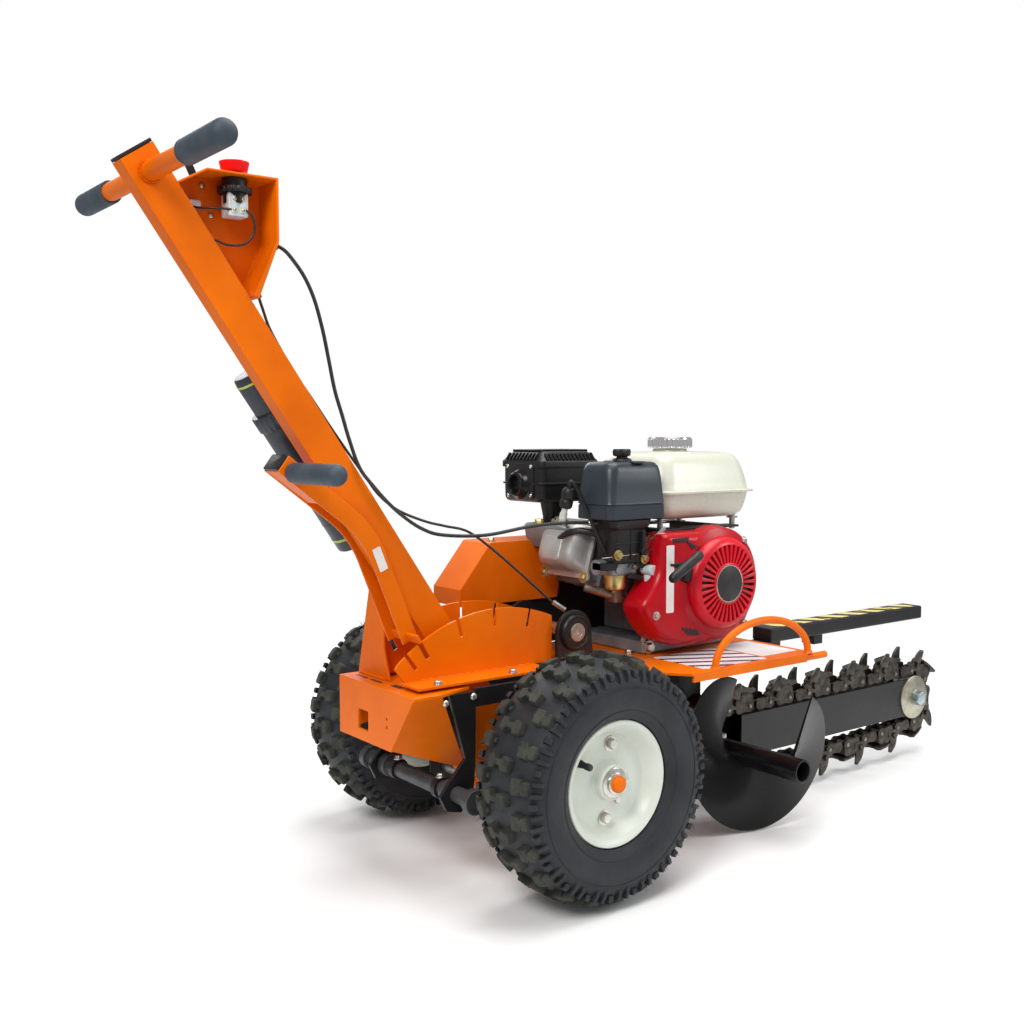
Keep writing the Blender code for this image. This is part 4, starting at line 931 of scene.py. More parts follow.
def flight(steps=112):
    """One turn of auger blade with a rounded outer edge, thinner at the rim than at the tube."""
    rings = []
    for step in range(steps + 1):
        share = step / steps
        angle = AUGER_START - math.tau * 0.998 * share
        y = -0.275 + 0.16 * share
        section = []
        for radius, lift in ((0.016, 0.0), (0.06, 0.0004), (0.118, 0.001), (0.1214, 0.0018),
                (0.122, 0.0026), (0.1214, 0.0034), (0.118, 0.0042), (0.06, 0.0048), (0.016, 0.0052)):
            section.append((radius * math.cos(angle), y + lift, radius * math.sin(angle)))
        rings.append(section)
    return loft(rings, Matrix.Translation((HEAD_SHAFT.x, 0, HEAD_SHAFT.z)))


def at_head(y):
    return Vector((HEAD_SHAFT.x, y, HEAD_SHAFT.z))


def toothed_wheel(centre, radius, depth, teeth):
    points = []
    for index in range(teeth):
        for share, reach in ((0.0, 1.0), (0.16, 0.4), (0.3, 0.08),
                (0.45, 0.0), (0.6, 0.08), (0.74, 0.4), (0.88, 0.96)):
            angle = math.tau * (index + share) / teeth
            out = radius - depth * (1 - reach)
            points.append((centre.x + out * math.cos(angle), centre.z + out * math.sin(angle)))
    return points


def make_auger():
    blade = flight()
    profile = [(0.016, 0.0), (0.0184, 0.0), (0.019, 0.0006), (0.019, 0.195),
        (0.016, 0.195), (0.0155, 0.19), (0.0155, 0.0006)]
    tube_mesh = turned(profile, at_head(-0.2998), LEFT, 56, looped=True)
    seam = []
    for step in range(90):
        share = step / 89
        angle = AUGER_START - math.tau * 0.99 * share
        y = -0.275 + 0.16 * share + 0.0052
        seam.append((HEAD_SHAFT.x + 0.0196 * math.cos(angle), y, HEAD_SHAFT.z + 0.0196 * math.sin(angle)))
    bead = tube(seam, 0.0022)
    core = disc(0.0156, 0.012, at_head(-0.19), LEFT, 40)
    piece("auger_blade", [blade, tube_mesh, bead, core], "gloss",
        ("auger",), body="head_shaft_body", sharp=35)
    sprocket = plate(toothed_wheel(HEAD_SHAFT, 0.05, 0.006, 24), "xz", FINAL_CHAIN_Y,
        0.005, (circle(HEAD_SHAFT.x, HEAD_SHAFT.z, 0.016),))
    hub = turned([(0.012, 0.0), (0.026, 0.0), (0.027, 0.001), (0.027, 0.01),
        (0.012, 0.01)], at_head(0.1045), LEFT, 40, looped=True)
    piece("head_shaft_sprocket", [sprocket, hub], "chain", body="head_shaft_body", bevel=0.0005)
    shaft = rod(at_head(-0.112), at_head(0.128), 0.0158, 40, edge=0.001)
    piece("head_shaft", [shaft], "steel", body="head_shaft_body")
    pin = rod((HEAD_SHAFT.x, -0.128, HEAD_SHAFT.z - 0.0225),
        (HEAD_SHAFT.x, -0.128, HEAD_SHAFT.z + 0.0225), 0.004, 16)
    nuts = bolt((HEAD_SHAFT.x, -0.128, HEAD_SHAFT.z + 0.019), UP, 0.011, washer=False)
    piece("auger_cross_bolt", [pin, *nuts], "zinc", body="head_shaft_body")


def make_boom():
    tape = []
    for x in range(6):
        start = 0.556 + x * 0.0705
        tape.append(box((start, -0.1145, 0.3156), (start + 0.064, -0.0805, 0.31625)))
    piece("guard_bar_tape", tape, "tape")
    washer = turned([(0.0, 0.0), (0.044, 0.0), (0.044, 0.0026), (0.0425, 0.0038), (0.024, 0.0038),
        (0.0225, 0.0046), (0.0, 0.0046)], (NOSE.x, -0.0992, NOSE.z), RIGHT, 72)
    inner = disc(0.0165, 0.0016, (NOSE.x, -0.1036, NOSE.z), RIGHT, 40)
    piece("nose_washer", [washer, inner], "washer", ("nose_bolt",))
    head = bolt((NOSE.x, -0.104, NOSE.z), RIGHT, 0.026, washer=False)
    shank = rod((NOSE.x, -0.104, NOSE.z), (NOSE.x, -0.053, NOSE.z), 0.008, 32)
    nut = bolt((NOSE.x, -0.0606, NOSE.z), LEFT, 0.026, washer=False)
    piece("nose_bolt_hex", [*head, shank, *nut], "bluish", bevel=0.0005)


# --- Engine ---


def cylinder_matrix():
    """Cylinder coordinates: Z out along the bore, towards the rear and up, from the crank."""
    return Matrix.Translation(CRANK) @ Matrix.Rotation(CYLINDER_LEAN - math.radians(90.0), 4, "Y")


def make_block():
    foot = []
    for x in (0.262, 0.458):
        for y in (-0.072, 0.072):
            foot += bolt((x, y, 0.3172), UP, 0.013)
    piece("engine_foot_bolts", foot, "zinc")
    dipstick = turned([(0.009, 0.0), (0.0105, 0.004), (0.0105, 0.01), (0.007, 0.013),
        (0.0, 0.0135)], (0.3, -0.0752, 0.345), (-0.35, -1.0, 0.35), 20)
    piece("oil_filler_plug", [dipstick], "moulded")
    drain = bolt((0.262, -0.0842, 0.308), RIGHT, 0.014)
    piece("oil_drain_bolt", drain, "zinc")


def make_valve_cover():
    """Pressed cover over the valves with its flange, breather hump and four bolts."""
    place = cylinder_matrix()
    levels = [(0.2185, -0.004, 0.014), (0.223, -0.004, 0.014), (0.2232, 0.004, 0.014),
        (0.233, 0.0055, 0.015), (0.247, 0.0085, 0.017), (0.254, 0.013, 0.017),
        (0.2575, 0.019, 0.015), (0.2585, 0.026, 0.01)]
    cover = rounded_box((-0.045, -0.043), (0.045, 0.063), levels, place)
    hump = pillow((-0.03, -0.01, 0.254), (0.012, 0.038, 0.26), 0.004, 0.008, place)
    lobes = []
    bolts = []
    for x in (-0.0455, 0.0405):
        for y in (-0.041, 0.061):
            lobes.append(disc(0.01, 0.0045, place @ Vector((x, y, 0.2185)), place.to_3x3() @ UP, 28))
            bolts += bolt(place @ Vector((x, y, 0.2232)), place.to_3x3() @ UP, 0.0105)
    piece("valve_cover_pressing", [cover, hump, *lobes], "cast", ("valve_cover",), sharp=35)
    piece("valve_cover_bolts", bolts, "golden")


def make_spark_plug():
    """Spark plug with its cap and the high-tension lead that runs back to the cowl."""
    low = Vector((0.116, -0.042, 0.544))
    way = Vector((0.1, -0.25, 1.0)).normalized()
    cap = turned([(0.0, 0.0), (0.0085, 0.0), (0.0105, 0.003), (0.0105, 0.012), (0.009, 0.014),
        (0.0112, 0.017), (0.0112, 0.027), (0.0085, 0.032), (0.0, 0.034)], low, way, 24)
    porcelain = turned([(0.0, -0.02), (0.0062, -0.02), (0.0062, -0.009),
        (0.005, -0.008), (0.005, 0.001), (0.0, 0.001)], low, way, 24)
    piece("spark_plug_porcelain", [porcelain], "white", sharp=40)
    seat = turned([(0.0, -0.03), (0.01, -0.03), (0.01, -0.019), (0.0, -0.019)], low, way, 6)
    piece("spark_plug_seat", [seat, *bolt(low + way * -0.03, way, 0.016)], "zinc")
    start = low + way * 0.026
    route = smooth([start, start + Vector((0.006, -0.008, 0.01)), Vector((0.175, -0.088, 0.452)),
        Vector((0.214, -0.06, 0.47)), Vector((0.252, -0.052, 0.49)), Vector((0.268, -0.06, 0.488))], 8)
    piece("spark_plug_cap", [cap, tube(route, 0.0035)], "moulded")


def make_muffler():
    """Box silencer with its seam and outlet, under the slotted heat guard that make_muffler_guard builds."""
    low, high = (0.128, 0.036), (0.252, 0.145)
    body = rounded_box(low, high, [(0.547, 0.008, 0.01), (0.549, 0.0035, 0.013), (0.554, 0.0005, 0.015),
        (0.577, 0.0, 0.015), (0.5772, -0.003, 0.017), (0.58, -0.003, 0.017), (0.5802, 0.0, 0.015),
        (0.61, 0.0, 0.015), (0.6145, 0.003, 0.013), (0.6152, 0.009, 0.008)])
    neck = rounded_box((0.176, 0.071), (0.209, 0.098),
        [(0.485, 0.0, 0.012), (0.52, 0.0, 0.012), (0.55, -0.004, 0.012)])
    flange = rounded_box((0.166, 0.067), (0.219, 0.104), [(0.485, 0.0, 0.01), (0.491, 0.0, 0.01)])
    piece("muffler_shell", [body, neck, flange], "black", ("muffler",), bevel=0.0005)
    port = rounded_box((0.142, -0.028), (0.225, 0.108),
        [(0.47, 0.01, 0.014), (0.486, 0.002, 0.014), (0.506, 0.0, 0.014), (0.51, 0.003, 0.013)])
    studs = []
    for x, y in ((0.16, 0.08), (0.158, -0.01), (0.205, -0.01)):
        studs += bolt((x, y, 0.509), UP, 0.013)
    piece("exhaust_port", [port], "casing", bevel=0.001)
    piece("exhaust_port_bolts", studs, "golden")
    outlet = Vector((0.129, 0.092, 0.577))
    rings = [turned([(0.014, -0.003), (0.024, -0.003), (0.0262, 0.001), (0.0262, 0.004),
        (0.024, 0.0066), (0.0215, 0.009), (0.0205, 0.0125), (0.0185, 0.014),
        (0.016, 0.0135), (0.0145, 0.011)], outlet, REAR, 56, looped=True)]
    rings.append(turned([(0.0, 0.001), (0.0142, 0.001), (0.0142, 0.0016), (0.0, 0.0016)], outlet, REAR, 32))
    piece("muffler_outlet", rings, "gloss", sharp=30)
    plate_rear = rounded_box((-0.036, -0.03), (0.036, 0.03),
        [(-0.002, 0.0, 0.006), (0.001, 0.0, 0.006),
        (0.0018, 0.001, 0.005)], aim((0.1275, 0.09, 0.583), REAR))
    piece("muffler_rear_shield", [plate_rear], "black")
    screws = []
    for y, z in ((0.06, 0.559), (0.122, 0.557), (0.06, 0.607), (0.124, 0.607)):
        screws += dome_bolt((0.1258, y, z), REAR, 0.0036)
    piece("muffler_screws", screws, "zinc")


def make_muffler_guard():
    """Heat guard: a pan with rolled edges and rows of louvres pressed through its top and side."""
    low, high = (0.1265, 0.033), (0.258, 0.148)
    levels = [(0.606, 0.0, 0.012), (0.615, 0.0, 0.012), (0.6172, 0.0008, 0.012),
        (0.63, 0.011, 0.012), (0.6325, 0.014, 0.011), (0.633, 0.018, 0.009)]
    piece("muffler_guard_pan", [rounded_box(low, high, levels)], "black", ("muffler_guard",), bevel=0.0004)
    ribs = []
    slope = math.atan2(0.0128, 0.0102)
    for step in range(13):
        x = 0.142 + step * 0.0084
        for y, turn in ((0.0382, -slope), (0.1428, slope)):
            place = Matrix.Translation((x, y, 0.6236)) @ Matrix.Rotation(-turn, 4, "X")
            ribs.append(pillow((-0.0018, -0.0074, -0.001), (0.0018, 0.0074, 0.0026), 0.0008, 0.0016, place))
        ribs.append(pillow((x - 0.0026, 0.052, 0.6318), (x + 0.0026, 0.129, 0.636), 0.0014, 0.0024))
    for step in range(9):
        y = 0.052 + step * 0.0096
        for x, turn in ((0.1317, slope), (0.2528, -slope)):
            place = Matrix.Translation((x, y, 0.6236)) @ Matrix.Rotation(-turn, 4, "Y")
            ribs.append(pillow((-0.0074, -0.0019, -0.001), (0.0074, 0.0019, 0.0026), 0.0008, 0.0016, place))
    piece("muffler_guard_louvres", ribs, "gloss", sharp=50)


def make_tank():
    """Moulded fuel tank: domed top, tapered flanks, a seam flange round its middle and a deep lower half."""
    low, high = (0.272, -0.102), (0.514, 0.095)
    levels = [(0.5175, 0.042, 0.018), (0.518, 0.03, 0.024), (0.5205, 0.0215, 0.028), (0.526, 0.015, 0.031),
        (0.535, 0.011, 0.033), (0.55, 0.0075, 0.034), (0.56, 0.006, 0.034), (0.5612, 0.0048, 0.034),
        (0.5618, -0.0022, 0.038), (0.565, -0.0026, 0.038), (0.5656, 0.0046, 0.034), (0.567, 0.0058, 0.034),
        (0.58, 0.008, 0.033), (0.595, 0.0115, 0.032), (0.608, 0.0155, 0.031),
        (0.6165, 0.019, 0.03), (0.6225, 0.023, 0.028), (0.627, 0.029, 0.026),
        (0.6298, 0.038, 0.024), (0.6314, 0.052, 0.02), (0.6319, 0.07, 0.014)]
    tank = rounded_box(low, high, levels, steps=14)
    neck = turned([(0.0, 0.0), (0.033, 0.0), (0.031, 0.004),
        (0.0295, 0.0105), (0.0, 0.011)], TANK_NECK, UP, 56)
    piece("fuel_tank_shell", [tank, neck], "cream", ("fuel_tank",), sharp=50)
    studs = []
    for x, y in ((0.3, -0.07), (0.3, 0.06), (0.478, -0.07), (0.478, 0.06)):
        studs.append(rod((x, y, 0.495), (x, y, 0.52), 0.005, 20))
        studs.append(disc(0.01, 0.0025, (x, y, 0.5145), UP, 24))
    piece("tank_mounts", studs, "zinc")
    bracket = [box((0.286, -0.085, 0.499), (0.48, -0.055, 0.503)),
        box((0.286, 0.045, 0.499), (0.48, 0.075, 0.503))]
    bracket.append(box((0.3, -0.06, 0.48), (0.312, 0.06, 0.503)))
    bracket.append(box((0.452, -0.06, 0.48), (0.464, 0.06, 0.503)))
    piece("tank_brackets", bracket, "black", bevel=0.001)


def make_fuel_cap():
    ribs = 28

    def lobes(angle, radius, distance):
        if radius < 0.036 or distance > 0.015 or distance < 0.002:
            return 0.0
        return 0.018 * math.tanh(3.0 * math.sin(angle * ribs))

    profile = [(0.0, 0.0), (0.037, 0.0), (0.0385, 0.001), (0.0385, 0.0022), (0.0387, 0.0024),
        (0.0387, 0.0148), (0.0384, 0.0152), (0.038, 0.0175), (0.0355, 0.0192),
        (0.026, 0.0192), (0.0245, 0.0184), (0.008, 0.0184), (0.0, 0.0186)]
    cap = turned(profile, TANK_NECK + UP * 0.0116, UP, ribs * 8, lobes=lobes)
    piece("fuel_cap_ribbed", [cap], "chrome", ("fuel_cap",), body="fuel_cap_body", sharp=35)


def make_air_cleaner():
    """Moulded cover with a step above its parting line, on its angled housing."""
    low, high = (0.141, -0.121), (0.268, -0.035)
    levels = [(0.5255, 0.003, 0.01), (0.527, 0.0008, 0.012), (0.548, 0.001, 0.013), (0.5485, 0.0022, 0.013),
        (0.55, 0.0022, 0.013), (0.5506, 0.0004, 0.013), (0.554, 0.001, 0.014),
        (0.58, 0.0025, 0.016), (0.602, 0.0045, 0.018), (0.611, 0.007, 0.018),
        (0.6155, 0.011, 0.016), (0.6172, 0.017, 0.012), (0.6176, 0.025, 0.008)]
    cover = rounded_box(low, high, levels, steps=10)
    ridge = pillow((0.196, -0.1195, 0.615), (0.22, -0.04, 0.6186), 0.0016, 0.006)
    piece("air_cleaner_lid", [cover, ridge], "slate", ("air_cleaner_cover",), sharp=50)
    nut = turned([(0.0, 0.0), (0.015, 0.0), (0.0165, 0.002), (0.015, 0.005), (0.009, 0.007),
        (0.0085, 0.011), (0.0, 0.011)], (0.208, -0.075, 0.6165), UP, 40)

    def wings(angle, radius, distance):
        return 0.16 * math.sin(angle * 5) if distance > 0.0095 and radius > 0.004 else 0.0

    grip = turned([(0.0, 0.009), (0.01, 0.009), (0.013, 0.0105), (0.0135, 0.018),
        (0.012, 0.021), (0.0, 0.0212)], (0.208, -0.075, 0.6165), UP, 80, lobes=wings)
    piece("air_cleaner_knob", [nut, grip], "moulded", sharp=45)
    levels = [(0.4548, 0.006, 0.008), (0.456, 0.001, 0.01), (0.476, 0.0, 0.011), (0.508, -0.001, 0.012),
        (0.513, -0.006, 0.014), (0.524, -0.009, 0.016), (0.5248, -0.006, 0.014)]
    elbow = rounded_box((0.165, -0.106), (0.236, -0.058), levels, steps=8)
    web = [box((0.199, -0.108, 0.46), (0.2015, -0.105, 0.512)),
        box((0.165, -0.108, 0.486), (0.236, -0.1055, 0.4885))]
    feet = [rounded_box((0.15, -0.1), (0.182, -0.062), [(0.444, 0.0, 0.008), (0.456, 0.0, 0.008)]),
        rounded_box((0.216, -0.102), (0.248, -0.062), [(0.444, 0.0, 0.008), (0.456, 0.0, 0.008)])]
    piece("air_cleaner_housing", [elbow, *web, *feet], "moulded", ("air_cleaner_elbow",), bevel=0.0006)
    bolts = bolt((0.172, -0.1062, 0.469), RIGHT, 0.0105) + bolt((0.23, -0.1062, 0.46), RIGHT, 0.0105)
    piece("air_cleaner_bolts", bolts, "golden")
    breather = tube(smooth([(0.168, -0.06, 0.5), (0.15, -0.04, 0.505),
        (0.14, -0.02, 0.5), (0.142, 0.005, 0.488)], 8), 0.0055)
    piece("breather_hose", [breather], "cable")


def make_carburettor():
    """Float bowl with its drain screw, the throttle body above it, and the fuel pipe."""
    centre = (0.192, -0.077)
    bowl = turned([(0.0, 0.0), (0.012, 0.0), (0.016, 0.0025), (0.0178, 0.006), (0.018, 0.022),
        (0.0198, 0.0225), (0.0198, 0.026), (0.0, 0.026)], (*centre, 0.4085), UP, 48)
    drain = bolt((*centre, 0.4088), DOWN, 0.009)
    piece("float_bowl", [bowl, *drain], "golden", ("carburettor",), sharp=30)
    body = pillow((0.168, -0.097, 0.4345), (0.224, -0.059, 0.4545), 0.003, 0.006)
    throat = rod((0.15, -0.077, 0.448), (0.235, -0.077, 0.448), 0.0125, 36)
    boss = [rod((0.18, -0.1, 0.444), (0.18, -0.09, 0.444), 0.0055, 20),
        rod((0.208, -0.102, 0.448), (0.208, -0.09, 0.448), 0.0048, 20)]
    piece("throttle_body", [body, throat, *boss], "casing", sharp=40)
    screw = turned([(0.0, 0.0), (0.0045, 0.0), (0.0045, 0.006), (0.0035, 0.008),
        (0.0, 0.008)], (0.208, -0.102, 0.448), RIGHT, 6)
    coil = []
    coil_radius = 0.0024
    for step in range(90):
        angle = step * 0.55
        across, up = coil_radius * math.cos(angle), coil_radius * math.sin(angle)
        coil.append((0.152 + step * 0.0006, -0.103 + across, 0.464 + up))
    spring = tube(coil, 0.0004, 8)
    rodded = tube([(0.14, -0.104, 0.466), (0.24, -0.106, 0.469), (0.262, -0.104, 0.486)], 0.0011, 8)
    piece("governor_linkage", [screw, spring, rodded], "rivet")
    plate_mesh = plate([(0.236, 0.446), (0.262, 0.446), (0.266, 0.48),
        (0.25, 0.498), (0.232, 0.49)], "xz", -0.0985, 0.0022)
    arm = plate([(0.24, 0.492), (0.246, 0.49), (0.276, 0.5055), (0.273, 0.511)], "xz", -0.108, 0.0022)
    piece("throttle_control_plate", [plate_mesh, arm], "zinc", bevel=0.0005)
    tap = [rod((0.24, -0.118, 0.441), (0.24, -0.094, 0.441), 0.0085, 28),
        turned([(0.0, 0.0), (0.0072, 0.0), (0.0078, 0.002), (0.0078, 0.011),
        (0.0055, 0.0155), (0.0, 0.016)], (0.24, -0.106, 0.433), DOWN, 28)]
    piece("fuel_tap", tap, "grey", sharp=40)
    hose = tube(smooth([(0.245, -0.104, 0.445), (0.262, -0.098, 0.47),
        (0.276, -0.092, 0.505), (0.29, -0.08, 0.524)], 8), 0.0032)
    piece("fuel_hose", [hose], "cable")
    lever = plate([(0.197, 0.431), (0.225, 0.425), (0.232, 0.43), (0.205, 0.439)], "xz", -0.101, 0.003)
    piece("fuel_tap_lever", [lever], "moulded", bevel=0.0008)
    pipe = tube(smooth([(0.15, -0.05, 0.414), (0.166, -0.062, 0.408), (0.2, -0.072, 0.396),
        (0.236, -0.078, 0.382), (0.262, -0.08, 0.37)], 8), 0.007, 20)
    saddle = pillow((0.188, -0.083, 0.388), (0.204, -0.06, 0.4085), 0.002, 0.004)
    piece("governor_arm", [pipe, saddle], "pipe", sharp=50)


COWL = [(0.258, 0.5), (0.33, 0.5), (0.405, 0.498), (0.432, 0.489), (0.455, 0.466), (0.467, 0.44),
    (0.471, 0.402), (0.466, 0.37), (0.452, 0.341), (0.428, 0.3215), (0.4, 0.3125), (0.35, 0.3105),
    (0.3, 0.311), (0.266, 0.318), (0.238, 0.332), (0.216, 0.356), (0.204, 0.379),
    (0.208, 0.394), (0.226, 0.414), (0.24, 0.436), (0.246, 0.464), (0.25, 0.49)]


def cowl_ring(y, shrink):
    centre = Vector((0.352, 0.0, 0.404))
    points = smooth([(x, 0.0, z) for x, z in COWL], 5, closed=True)
    ring = []
    for point in points:
        offset = point - centre
        ring.append(centre + offset * (1 - shrink / offset.length) + Vector((0, y, 0)))
    return ring


def make_cowl():
    """Blower housing with a rolled shoulder, the raised ring round the starter and two vent louvres, whose
    slots are thin black pads of painted shade.
    """
    rings = [cowl_ring(-0.0855, 0.0035), cowl_ring(-0.0855, 0.0), cowl_ring(-0.118, 0.0)]
    for step in range(1, 7):
        angle = math.radians(90 * step / 6)
        rings.append(cowl_ring(-0.118 - 0.0165 * math.sin(angle), 0.0165 * (1 - math.cos(angle))))
    rings.append(cowl_ring(-0.135, 0.03))
    shell = loft(rings)
    cone = turned([(0.0, 0.11), (0.096, 0.11), (0.0925, 0.134),
        (0.088, 0.1365), (0.0, 0.1365)], STARTER, RIGHT, 72)
    piece("blower_housing", [shell, cone], "red", ("fan_cover",), sharp=50)
    # The vent slots are thin black pads: painted shade in place of the openings.
    vent_shade_pads = []
    for step in range(4):
        vent_shade_pads.append(pillow((-0.002, -0.011 + 0.0004 * step, 0.0), (0.002, 0.011 - 0.0012 * step, 0.0016),
            0.0008, 0.0018, aim((0.297 + step * 0.0085, -0.135, 0.338 - step * 0.0012), RIGHT, 0.9)))
    for step in range(4):
        vent_shade_pads.append(pillow((-0.0018, -0.01, 0.0), (0.0018, 0.01, 0.0016), 0.0008, 0.0016,
            aim((0.306 + step * 0.0085, -0.135, 0.479 - step * 0.003), RIGHT, 0.75)))
    piece("blower_vent_shade_pads", vent_shade_pads, "cable")
    slot = pillow((0.266, -0.136, 0.486), (0.302, -0.1345, 0.4925), 0.0006, 0.0007)
    piece("blower_label", [slot], "cable")
    strip = rounded_box((-0.0085, -0.055), (0.0085, 0.055),
        [(0.0, 0.0, 0.002), (0.0007, 0.0, 0.002)], aim((0.26, -0.1349, 0.427), RIGHT, 0.0))
    piece("blower_label_strip", [strip], "pale")
    bolts = []
    for x, z in ((0.436, 0.48), (0.442, 0.336), (0.23, 0.37)):
        bolts += bolt((x, -0.134, z), RIGHT, 0.009)
    piece("blower_bolts", bolts, "zinc")


def make_starter():
    """Recoil starter: a dished cover with radial air slots, a raised rim and a plain centre plate."""
    centre = STARTER
    dish = [(0.0, 0.136), (0.0765, 0.136), (0.078, 0.1375), (0.0775, 0.144), (0.0745, 0.1505),
        (0.07, 0.1545), (0.0655, 0.1562), (0.064, 0.1545), (0.064, 0.148), (0.0, 0.148)]
    back = turned(dish, centre, RIGHT, 96)
    hub = turned([(0.0, 0.147), (0.0355, 0.147), (0.0355, 0.1568), (0.0345, 0.158),
        (0.0325, 0.1584), (0.0318, 0.1572), (0.0, 0.1572)], centre, RIGHT, 72)
    spokes = []
    count = 34
    for index in range(count):
        angle = math.tau * index / count
        rings = []
        for radius, low, high, half in ((0.0345, 0.1475, 0.1572, 0.0017),
                (0.05, 0.1475, 0.1574, 0.0022), (0.065, 0.1475, 0.1562, 0.0029)):
            ring = []
            for across, height in ((-half, low), (half, low), (half, high - 0.0006),
                    (half * 0.7, high), (-half * 0.7, high), (-half, high - 0.0006)):
                spot = Vector((radius * math.cos(angle) - across * math.sin(angle), -height,
                    radius * math.sin(angle) + across * math.cos(angle)))
                ring.append(centre + spot)
            rings.append(ring)
        spokes.append(loft(rings))
    piece("starter_cover", [back, hub, *spokes], "starter", ("recoil_housing",), sharp=40)
    # The black ring on the dish's floor under the spokes is painted shade in the air slots.
    shade = turned([(0.035, 0.1478), (0.064, 0.1478), (0.064, 0.1484),
        (0.035, 0.1484)], centre, RIGHT, 72, looped=True)
    badge = turned([(0.0, 0.157), (0.03, 0.157), (0.03, 0.1578),
        (0.0292, 0.1582), (0.0, 0.1582)], centre, RIGHT, 64)
    piece("starter_centre_plate_and_slot_shade", [badge, shade], "cable")
    ring = turned([(0.03, 0.157), (0.0318, 0.157), (0.0318, 0.158),
        (0.0309, 0.1587), (0.03, 0.158)], centre, RIGHT, 72, looped=True)
    piece("starter_centre_ring", [ring], "zinc")
    mount = turned([(0.0, 0.0), (0.015, 0.0), (0.014, 0.006), (0.011, 0.01),
        (0.005, 0.011), (0.0, 0.011)], (0.296, -0.1335, 0.433), RIGHT, 36)
    piece("starter_rope_guide", [mount], "moulded")


def make_recoil_grip():
    """Moulded T-grip: a waisted bar with rounded ends, its ferrule and the rope."""
    way = Vector((0.87, 0.0, 0.49)).normalized()
    half = 0.04
    profile = [(0.0, -half), (0.0045, -half + 0.0008), (0.0072, -half + 0.004),
        (0.0082, -half + 0.01), (0.0078, -0.018), (0.0084, -0.006), (0.0084, 0.006), (0.0078, 0.018),
        (0.0082, half - 0.01), (0.0072, half - 0.004), (0.0045, half - 0.0008), (0.0, half)]
    bar = turned(profile, RECOIL, way, 32)
    ferrule = turned([(0.0, 0.0), (0.007, 0.0), (0.0064, 0.01), (0.005, 0.02),
        (0.0, 0.0205)], RECOIL + Vector((0, 0.003, 0)), LEFT, 28)
    rope = rod(RECOIL + Vector((0, 0.018, 0)), RECOIL + Vector((0, 0.108, 0)), 0.0024, 16, edge=0.0002)
    piece("starter_grip", [bar, ferrule, rope], "moulded",
        ("recoil_grip",), body="recoil_grip_body", sharp=50)


def make_engine():
    make_block()
    make_valve_cover()
    make_spark_plug()
    make_muffler()
    make_muffler_guard()
    make_tank()
    make_fuel_cap()
    make_air_cleaner()
    make_carburettor()
    make_cowl()
    make_starter()
    make_recoil_grip()


# --- Chassis and covers ---


def make_chassis():
    make_hoop()
    make_bearing()
    make_fasteners()
    make_labels()
    make_welds()
    make_inner_guard_and_shade_sheet()


def make_inner_guard_and_shade_sheet():
    """Black sheet between the belts and the engine, bored for the jackshaft, with a turned-in lower edge. Its
    black also stands in for the shadow under the open belt cover, as painted shade.
    """
    outline = [(0.028, 0.305), (0.028, 0.41), (0.06, 0.436), (0.318, 0.436), (0.345, 0.42), (0.345, 0.305)]
    hole = circle(JACKSHAFT.x, JACKSHAFT.z, 0.03)
    sheet = plate(outline, "xz", 0.0925, 0.002, (hole,))
    foot = box((0.028, 0.078, 0.303), (0.236, 0.093, 0.305))
    # Painted shade: this black sheet also stands for the shadow under the belt cover.
    piece("belt_inner_guard_shade_sheet", [sheet, foot], "black", bevel=0.0005)


def make_hoop():
    """Round-bar guard hoop, bent to half an ellipse and welded to the deck."""
    route = []
    for step in range(65):
        angle = math.pi * step / 64
        route.append((0.3765 - 0.1125 * math.cos(angle), -0.232,
            DECK_TOP + 0.001 + 0.064 * math.sin(angle)))
    collars = []
    for x in (0.264, 0.489):
        collars.append(turned([(0.006, 0.0), (0.0085, 0.0), (0.008, 0.0016), (0.0062, 0.0038),
            (0.0055, 0.003)], (x, -0.232, DECK_TOP), UP, 28, looped=True))
    piece("guard_hoop", [tube(route, 0.006, 20), *collars], "orange", ("deck_hoop",), sharp=50)


def make_bearing():
    """Flange bearing on the jackshaft's right-hand end: cast ring, seal and bronze-grey centre."""
    centre = Vector((JACKSHAFT.x, -0.0598, JACKSHAFT.z))
    ring = turned([(0.0225, 0.0), (0.03, 0.0), (0.0295, 0.005), (0.027, 0.0078),
        (0.0245, 0.008), (0.0225, 0.0062)], centre, RIGHT, 56, looped=True)
    seal = turned([(0.0105, 0.004), (0.0226, 0.004), (0.0226, 0.0064),
        (0.0105, 0.0064)], centre, RIGHT, 48, looped=True)
    piece("bearing_ring", [ring, seal], "black", bevel=0.0004)
    core = turned([(0.0, 0.0), (0.015, 0.0), (0.015, 0.0078), (0.014, 0.0086), (0.0085, 0.0086),
        (0.008, 0.0078), (0.004, 0.0078), (0.0036, 0.0066), (0.0, 0.0066)], centre, RIGHT, 48)
    piece("bearing_centre", [core], "bronze", sharp=35)


